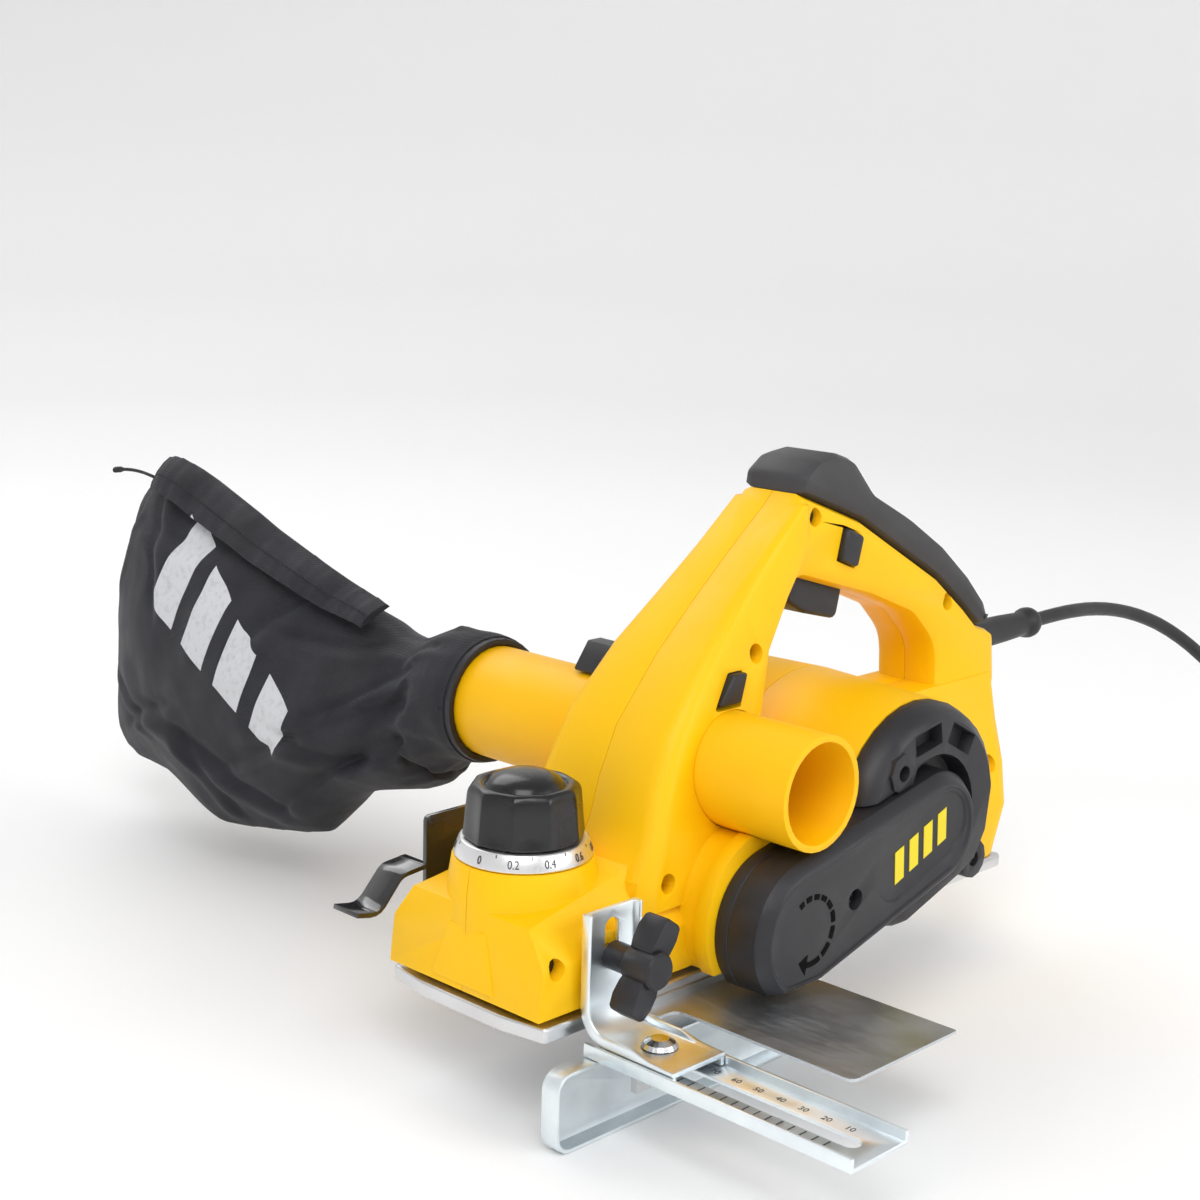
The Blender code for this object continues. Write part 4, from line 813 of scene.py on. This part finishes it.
def make_wing_knob():
    """Clamp knob of the fence: neck, hub and two thick wings set across each other's ends."""
    cx, cz = FENCE_X, 28.5
    profile = [(0, -46.4), (5.0, -46.4), (5.4, -47.0), (5.4, -55.2), (6.4, -56.4), (7.0, -57.4), (7.0, -69.6),
               (6.2, -70.5), (0, -70.5)]
    hub = turned("wing_hub", profile, "Y", (cx, 0, cz), "black_plastic", "wing_knob", 36)
    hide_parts("wing_knob")
    turn = math.radians(54)
    for k, sign in enumerate((1, -1)):
        rows = []
        for u, half, near, far in ((4.0, 4.4, -67.6, -57.4), (8.0, 5.2, -68.2, -57.0), (13.0, 5.0, -68.5, -56.6),
                                   (17.4, 4.1, -68.2, -56.9), (18.5, 3.2, -67.4, -57.7)):
            row = []
            for v, y in ((-half, far), (half, far), (half, near), (-half, near)):
                a, b = u * sign, v + 1.6 * sign
                row.append((cx + a * math.cos(turn) - b * math.sin(turn), y,
                            cz + a * math.sin(turn) + b * math.cos(turn)))
            rows.append(row)
        data = round_edges(mesh_of("wing", loft(rows)), 0.55)
        wing = place(f"wing_{k}", data, "black_plastic", "wing_knob", angle=40.0)
        attach(wing, hub)


def cross_screw(node, x, z, r, face, deep=1.6):
    """Pan-head screw with a cross recess, set into its hole."""
    rows = [ring(x, y, z, wide, 24) for wide, y in (
        (r, face + 3.0), (r, face + 0.9), (r * 0.86, face + 0.25), (r * 0.5, face), (r * 0.12, face - 0.05))]
    cutters = []
    for a in (0.35, 0.35 + math.pi / 2):
        c, s = math.cos(a), math.sin(a)
        long, wide = r * 0.68, r * 0.17
        shape = [(long, wide), (-long, wide), (-long, -wide), (long, -wide)]
        cutters.append(loft([[(x + (u * c - v * s) * k, y, z + (u * s + v * c) * k) for u, v in shape]
                             for y, k in ((face + deep, 0.35), (face - 0.4, 1.05))]))
    data = carved(node + "_head", loft(rows), cutters)
    piece = place(node + "_head", data, "dark_screws", "body", angle=30.0)
    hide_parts(node)


def make_panel():
    """Raised trapezoid on the front of the nose."""
    rows = []
    for grow, lift in ((0.0, -0.4), (0.0, 0.25), (0.5, 0.65), (1.2, 0.75)):
        corners = ((-17.0 + grow, 11.0 + grow), (17.0 - grow, 11.0 + grow),
                   (10.0 - grow * 0.7, 33.0 - grow), (-10.0 + grow * 0.7, 33.0 - grow))
        rows.append([(-206.5 + (z - 8.8) * 3.5 / 31.7 - lift, y, z) for y, z in corners])
    place("nose_panel", round_edges(mesh_of("nose_panel", loft(rows)), 0.25), "yellow_plastic", "body")


# ------------------------------------------------------------------ dust bag

BAG = [  # lowest point (y, z), highest point (y, z), half thickness, squareness of the section
    (106.5, 50.6, 106.5, 109.0, 29.2, 1.0), (111.0, 50.8, 111.0, 108.9, 29.0, 1.0),
    (119.0, 50.4, 119.0, 108.8, 28.9, 1.0), (124.0, 46.5, 124.0, 108.5, 28.6, 1.0),
    (132.0, 40.0, 134.0, 107.6, 28.4, 1.02), (143.0, 34.5, 146.0, 106.8, 28.6, 1.05),
    (156.0, 31.5, 155.0, 105.6, 29.6, 1.08), (168.0, 29.6, 164.0, 106.6, 30.6, 1.12),
    (181.0, 27.0, 172.0, 109.6, 31.8, 1.16), (194.0, 22.5, 181.0, 112.2, 33.0, 1.2),
    (204.0, 15.5, 191.0, 114.6, 34.2, 1.24), (212.0, 7.0, 202.0, 117.4, 35.2, 1.28),
    (219.0, 0.0, 214.0, 120.8, 36.0, 1.32), (224.0, -5.0, 227.0, 124.8, 36.8, 1.34),
    (236.0, -8.0, 240.0, 129.0, 37.4, 1.34), (252.0, -11.0, 255.0, 133.8, 37.8, 1.34),
    (270.0, -14.0, 271.0, 140.0, 37.8, 1.34), (288.0, -17.0, 288.0, 146.0, 37.2, 1.34),
    (306.0, -19.5, 304.0, 151.6, 36.0, 1.34), (322.0, -15.0, 319.0, 156.0, 34.0, 1.34),
    (338.0, -8.5, 333.0, 158.8, 31.2, 1.32), (354.0, -3.0, 345.0, 158.6, 27.4, 1.3),
    (370.0, -2.0, 356.0, 155.4, 22.6, 1.28), (385.0, -1.5, 365.0, 151.4, 17.0, 1.24),
    (397.0, 2.5, 371.0, 147.0, 11.4, 1.2), (405.0, 9.0, 377.0, 141.0, 6.2, 1.15),
    (408.5, 15.0, 381.0, 135.0, 2.4, 1.1),
]


def bag_point(row, a, proud=0.0):
    """Point on the bag's skin: a is the angle round the section, 0 on the +X side, a quarter turn at the top."""
    ly, lz, hy, hz, half, power = row
    c, s = math.cos(a), math.sin(a)
    reach = Vector((0.0, (hy - ly) / 2, (hz - lz) / 2))
    out = Vector((c, 0.0, 0.0)) + reach.normalized() * s
    return (Vector((BAG_X, (ly + hy) / 2, (lz + hz) / 2)) + reach * s
            + Vector((half * math.copysign(abs(c) ** power, c), 0.0, 0.0)) + out * proud)


def make_bag():
    """Dust bag: skinned from its sections, slackened as cloth, then creased."""
    sides = 72
    bm = loft([[bag_point(row, 2 * math.pi * i / sides) for i in range(sides)] for row in BAG])
    data = mesh_of("bag_shell", bm)
    bag = bpy.data.objects.new("bag_shell", data)
    scene.collection.objects.link(bag)
    mod = bag.modifiers.new("remesh", "REMESH")
    mod.mode = "VOXEL"
    mod.voxel_size = 0.004
    bake(bag)
    gather(bag)
    billow(bag)
    mod = bag.modifiers.new("finer", "SUBSURF")
    mod.levels = 1
    bake(bag)
    creases(bag)
    open_mouth(bag)
    data = bag.data
    bpy.data.objects.remove(bag)
    shell = place("dust_bag_cloth", data, "bag_cloth", "bag", angle=180.0)
    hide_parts("dust_bag")
    make_zip(shell)


def gather(bag):
    """Pleats the cloth where the collar draws it in."""
    for v in bag.data.vertices:
        y = v.co.y / MM
        a = math.atan2(v.co.z / MM - COLLAR_Z, v.co.x / MM - BAG_X)
        fade = max(0.0, 1.0 - abs(y - 126.0) / (20.0 if y < 126.0 else 70.0)) ** 1.3
        wave = math.sin(15 * a + 0.03 * y) + 0.7 * math.sin(23 * a + 1.3 - 0.02 * y)
        v.co += Vector((math.cos(a), 0.0, math.sin(a))) * 0.0010 * wave * fade


def billow(bag):
    """Lets the shell go slack as cloth a little too large for its shape, with its collar end pinned."""
    group = bag.vertex_groups.new(name="pin")
    for v in bag.data.vertices:
        y = v.co.y / MM
        group.add([v.index], max(0.0, min(1.0, (138.0 - y) / 14.0)), "REPLACE")
    start = [v.co.copy() for v in bag.data.vertices]
    mod = bag.modifiers.new("cloth", "CLOTH")
    mod.settings.quality = 5
    mod.settings.mass = 0.10
    mod.settings.tension_stiffness = 18.0
    mod.settings.compression_stiffness = 6.0
    mod.settings.shear_stiffness = 4.0
    mod.settings.bending_stiffness = 0.05
    mod.settings.vertex_group_mass = "pin"
    mod.settings.use_pressure = True
    mod.settings.uniform_pressure_force = 1.2
    mod.settings.effector_weights.gravity = 0.15
    mod.settings.shrink_min = -0.05
    mod.point_cache.frame_start = 1
    mod.point_cache.frame_end = 22
    for n in range(1, 21):
        scene.frame_set(n)
    graph = bpy.context.evaluated_depsgraph_get()
    moved = [v.co.copy() for v in bag.evaluated_get(graph).data.vertices]
    bag.modifiers.clear()
    scene.frame_set(1)
    for v, a, b in zip(bag.data.vertices, start, moved):
        step = b - a
        v.co = a + step * min(1.0, 0.007 / max(step.length, 1e-9))


FOLDS = [  # a crease on the near side: start (y, z), end (y, z), width, depth
    ((128.0, 62.0), (236.0, -2.0), 5.0, 3.2), ((128.0, 74.0), (262.0, 22.0), 5.5, 3.0),
    ((132.0, 88.0), (200.0, 60.0), 4.0, 2.6), ((140.0, 100.0), (226.0, 92.0), 4.5, 2.4),
    ((168.0, 44.0), (222.0, 44.0), 5.0, 2.4), ((150.0, 52.0), (196.0, 24.0), 3.5, 2.2),
    ((228.0, 2.0), (330.0, 34.0), 7.0, 3.4), ((300.0, 40.0), (384.0, 12.0), 6.0, 2.8),
    ((340.0, 20.0), (392.0, 48.0), 5.0, 2.0), ((250.0, 122.0), (352.0, 128.0), 7.0, 1.8),
    ((344.0, 146.0), (318.0, 88.0), 6.0, 2.2), ((362.0, 140.0), (388.0, 66.0), 5.0, 1.8),
    ((214.0, 112.0), (254.0, 66.0), 6.0, 1.8), ((270.0, -10.0), (300.0, 30.0), 6.0, 2.2),
]


def crease_depth(y, z, far):
    """How far the skin stands out, in mm, from all the folds; the far side's folds lie a little differently."""
    total = 0.0
    for k, ((y0, z0), (y1, z1), wide, deep) in enumerate(FOLDS):
        if far:
            z0, z1, wide = z0 + 9.0 * math.sin(2.1 * k), z1 + 11.0 * math.cos(1.7 * k), wide * 1.1
        line = Vector((y1 - y0, z1 - z0))
        rel = Vector((y - y0, z - z0))
        t = rel.dot(line) / line.length_squared
        bend = 4.0 * math.sin(math.pi * t + k)
        off = (rel.x * line.y - rel.y * line.x) / line.length + bend
        ends = max(0.0, min(1.0, (t + 0.12) / 0.22)) * max(0.0, min(1.0, (1.15 - t) / 0.3))
        u = off / wide
        total += deep * ends * (math.exp(-(u - 1.0) ** 2) - 0.8 * math.exp(-((u + 0.35) / 0.55) ** 2))
    return total


def creases(bag):
    """Sharp folds that fan out from the collar and hang from the corners, over softer slack."""
    for v in bag.data.vertices:
        p = v.co / MM
        side = max(-1.0, min(1.0, (p.x - BAG_X) / 14.0))
        u = Vector((p.x * 0.012, p.y * 0.013, p.z * 0.020))
        soft = noise.noise(u * 1.5 + Vector((3.1, 0.4, 7.7))) + 0.5 * noise.noise(u * 3.3)
        fine = noise.noise(Vector((p.x * 0.03, (p.y + p.z) * 0.045, (p.z - p.y) * 0.03)))
        start = min(1.0, max(0.0, (p.y - 122.0) / 16.0))
        amount = (crease_depth(p.y, p.z, side > 0) * abs(side) + 1.7 * soft + 0.5 * fine) * start
        v.co += Vector((side, 0.0, 0.12 * math.copysign(1.0, p.z - 70.0))) * amount * MM


def open_mouth(bag):
    """Keeps the sleeve's inside clear of the collar it is drawn over."""
    for v in bag.data.vertices:
        p = v.co / MM
        if p.y < 122.5:
            out = Vector((p.x - BAG_X, 0.0, p.z - COLLAR_Z))
            if out.length > 20.0:
                v.co = (Vector((BAG_X, p.y, COLLAR_Z)) + out.normalized() * max(out.length, 28.3)) * MM


def edge_at(s):
    """Top line of the bag at s, from 0 at the collar to 1 at the far corner, and the row there."""
    k = s * (len(BAG) - 1)
    i = min(int(k), len(BAG) - 2)
    return [a + (b - a) * (k - i) for a, b in zip(BAG[i], BAG[i + 1])]


def make_zip(shell):
    """Flap over the zip along the top edge, its stitching, and the pull cord."""
    rows = []
    count = 60
    for k in range(count + 1):
        s = 0.31 + 0.50 * k / count
        row = edge_at(s)
        lift = 1.0 + 0.16 * math.sin(0.9 * k) + 0.22 * math.sin(0.37 * k) + 0.14 * math.sin(2.3 * k + 1.0)
        section = ((96, 0.3), (100, 1.9 * lift), (108, 2.3 * lift), (116, 2.5 * lift), (123, 2.2 * lift),
                   (127, 1.2 * lift), (126, 0.2), (112, -0.6))
        rows.append([bag_point(row, math.radians(a), proud + 1.0) for a, proud in section])
    flap = place("zip_flap", mesh_of("zip_flap", loft(rows)), "bag_cloth", "bag", angle=50.0)
    attach(flap, shell)
    bm = bmesh.new()
    for k in range(84):
        s0 = 0.315 + 0.49 * k / 84
        a = bag_point(edge_at(s0), math.radians(119.0), 4.3)
        b = bag_point(edge_at(s0 + 0.0032), math.radians(119.0), 4.3)
        along = (b - a).normalized()
        side = along.cross(Vector((-0.8, 0.0, 0.6))).normalized() * 0.28
        up = Vector((-0.8, 0.0, 0.6)) * 0.25
        foot = [a - side, a + side, b + side, b - side]
        top = [a - side * 0.6 + up, a + side * 0.6 + up, b + side * 0.6 + up, b - side * 0.6 + up]
        add_faces(bm, foot + top, BOX_FACES)
    stitches = place("zip_stitches", mesh_of("zip_stitches", bm), "zip_tape", "bag")
    attach(stitches, shell)
    rows = []
    for k in range(15):
        t = k / 14
        y, z = 366.0 + 36.0 * t, 147.0 + 1.6 * math.sin(2.4 * t) - 1.8 * t * t
        r = 0.9 + (0.7 if k > 11 else 0.0)
        rows.append(ring(BAG_X + 0.8 * math.sin(3 * t), y, z, r, 8))
    pull = place("zip_pull_cord", mesh_of("zip_pull_cord", loft(rows)), "zip_tape", "bag")
    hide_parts("zip_pull")


# ------------------------------------------------------------------ stage

def make_stage():
    """Plain round floor that curves up into the backdrop on every side."""
    bm = bmesh.new()
    profile = [(0.0, 0.0), (1.6, 0.0), (2.0, 0.03), (2.35, 0.16), (2.6, 0.42), (2.75, 0.85), (2.8, 1.6),
               (2.8, 2.6)]
    sides = 96
    rings = [[bm.verts.new((0.0, 0.0, 0.0))]]
    for r, h in profile[1:]:
        rings.append([bm.verts.new((r * math.cos(2 * math.pi * i / sides),
                                    r * math.sin(2 * math.pi * i / sides), h)) for i in range(sides)])
    for a, b in zip(rings, rings[1:]):
        for i in range(sides):
            j = (i + 1) % sides
            loop = list(dict.fromkeys([a[i % len(a)], a[j % len(a)], b[j], b[i]]))
            bm.faces.new(loop)
    data = bpy.data.meshes.new("floor")
    bmesh.ops.recalc_face_normals(bm, faces=bm.faces)
    bm.to_mesh(data)
    bm.free()
    floor = bpy.data.objects.new("floor", data)
    floor.location = (0.05, 0.05, (FLOOR_Z - 0.1) * MM)
    scene.collection.objects.link(floor)
    smooth(floor, 60.0)
    mat = bpy.data.materials.new("floor")
    mat.use_nodes = True
    bsdf = mat.node_tree.nodes["Principled BSDF"]
    bsdf.inputs["Base Color"].default_value = (0.96, 0.96, 0.96, 1.0)
    bsdf.inputs["Roughness"].default_value = 0.85
    data.materials.append(mat)


def lamp(name, at, target, size, power):
    data = bpy.data.lights.new(name, "AREA")
    data.shape = "RECTANGLE"
    data.size, data.size_y = size
    data.energy = power
    ob = bpy.data.objects.new(name, data)
    ob.location = at
    ob.rotation_euler = (Vector(target) - Vector(at)).to_track_quat("-Z", "Y").to_euler()
    scene.collection.objects.link(ob)


def make_lights():
    lamp("key", (-1.0, -0.75, 1.5), (0.0, 0.05, 0.05), (1.1, 1.1), 14.0)
    lamp("front", (0.45, -1.7, 0.95), (0.0, 0.0, 0.05), (1.2, 0.8), 11.0)
    lamp("back", (0.2, 1.5, 1.6), (0.0, 0.1, 0.05), (1.6, 1.2), 12.5)
    world = bpy.data.worlds.new("studio")
    world.use_nodes = True
    sky = world.node_tree.nodes["Background"]
    sky.inputs["Color"].default_value = (1.0, 1.0, 1.0, 1.0)
    sky.inputs["Strength"].default_value = 0.52
    scene.world = world
    scene.view_settings.view_transform = "Standard"
    scene.view_settings.look = "None"


# ------------------------------------------------------------------ build

make_camera()
lead = make_cord()
relief = make_relief()
plug = make_plug()
for node, ob in frame["nodes"].items():
    ob.data.materials[0] = FIN[SLOT[node]].mat
ROUNDED = {  # CAD nodes that keep their shape, and the radius put on their edges in mm
    "housing_near": 0.7, "housing_far": 0.7, "motor_end_cap": 0.6, "chip_duct": 0.7, "handle_grip": 0.8,
    "fence_rail": 0.35, "fence_plate": 0.5, "trigger": 0.5, "lock_button": 0.5, "chip_selector": 0.5,
    "sole_front": 0.4, "sole_rear": 0.4, "rebate_stop": 0.3, "stop_knob": 0.5, "depth_scale_ring": 0.25,
    "bag_collar": 0.6,
}
for node, width in ROUNDED.items():
    rounded_node(node, width)
make_cover()
make_arrow()
make_knob()
make_dial()
make_ruler()
make_bracket()
make_wing_knob()
make_panel()
cross_screw("cover_screw", -70.5, 32.0, 3.4, -74.0, 1.0)
cross_screw("cap_screw_low", 24.5, 24.5, 3.0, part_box("cap_screw_low")[0].y / MM)
cross_screw("cap_screw_high", -36.0, 75.0, 3.0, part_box("cap_screw_high")[0].y / MM)
make_bag()
make_stage()
make_lights()
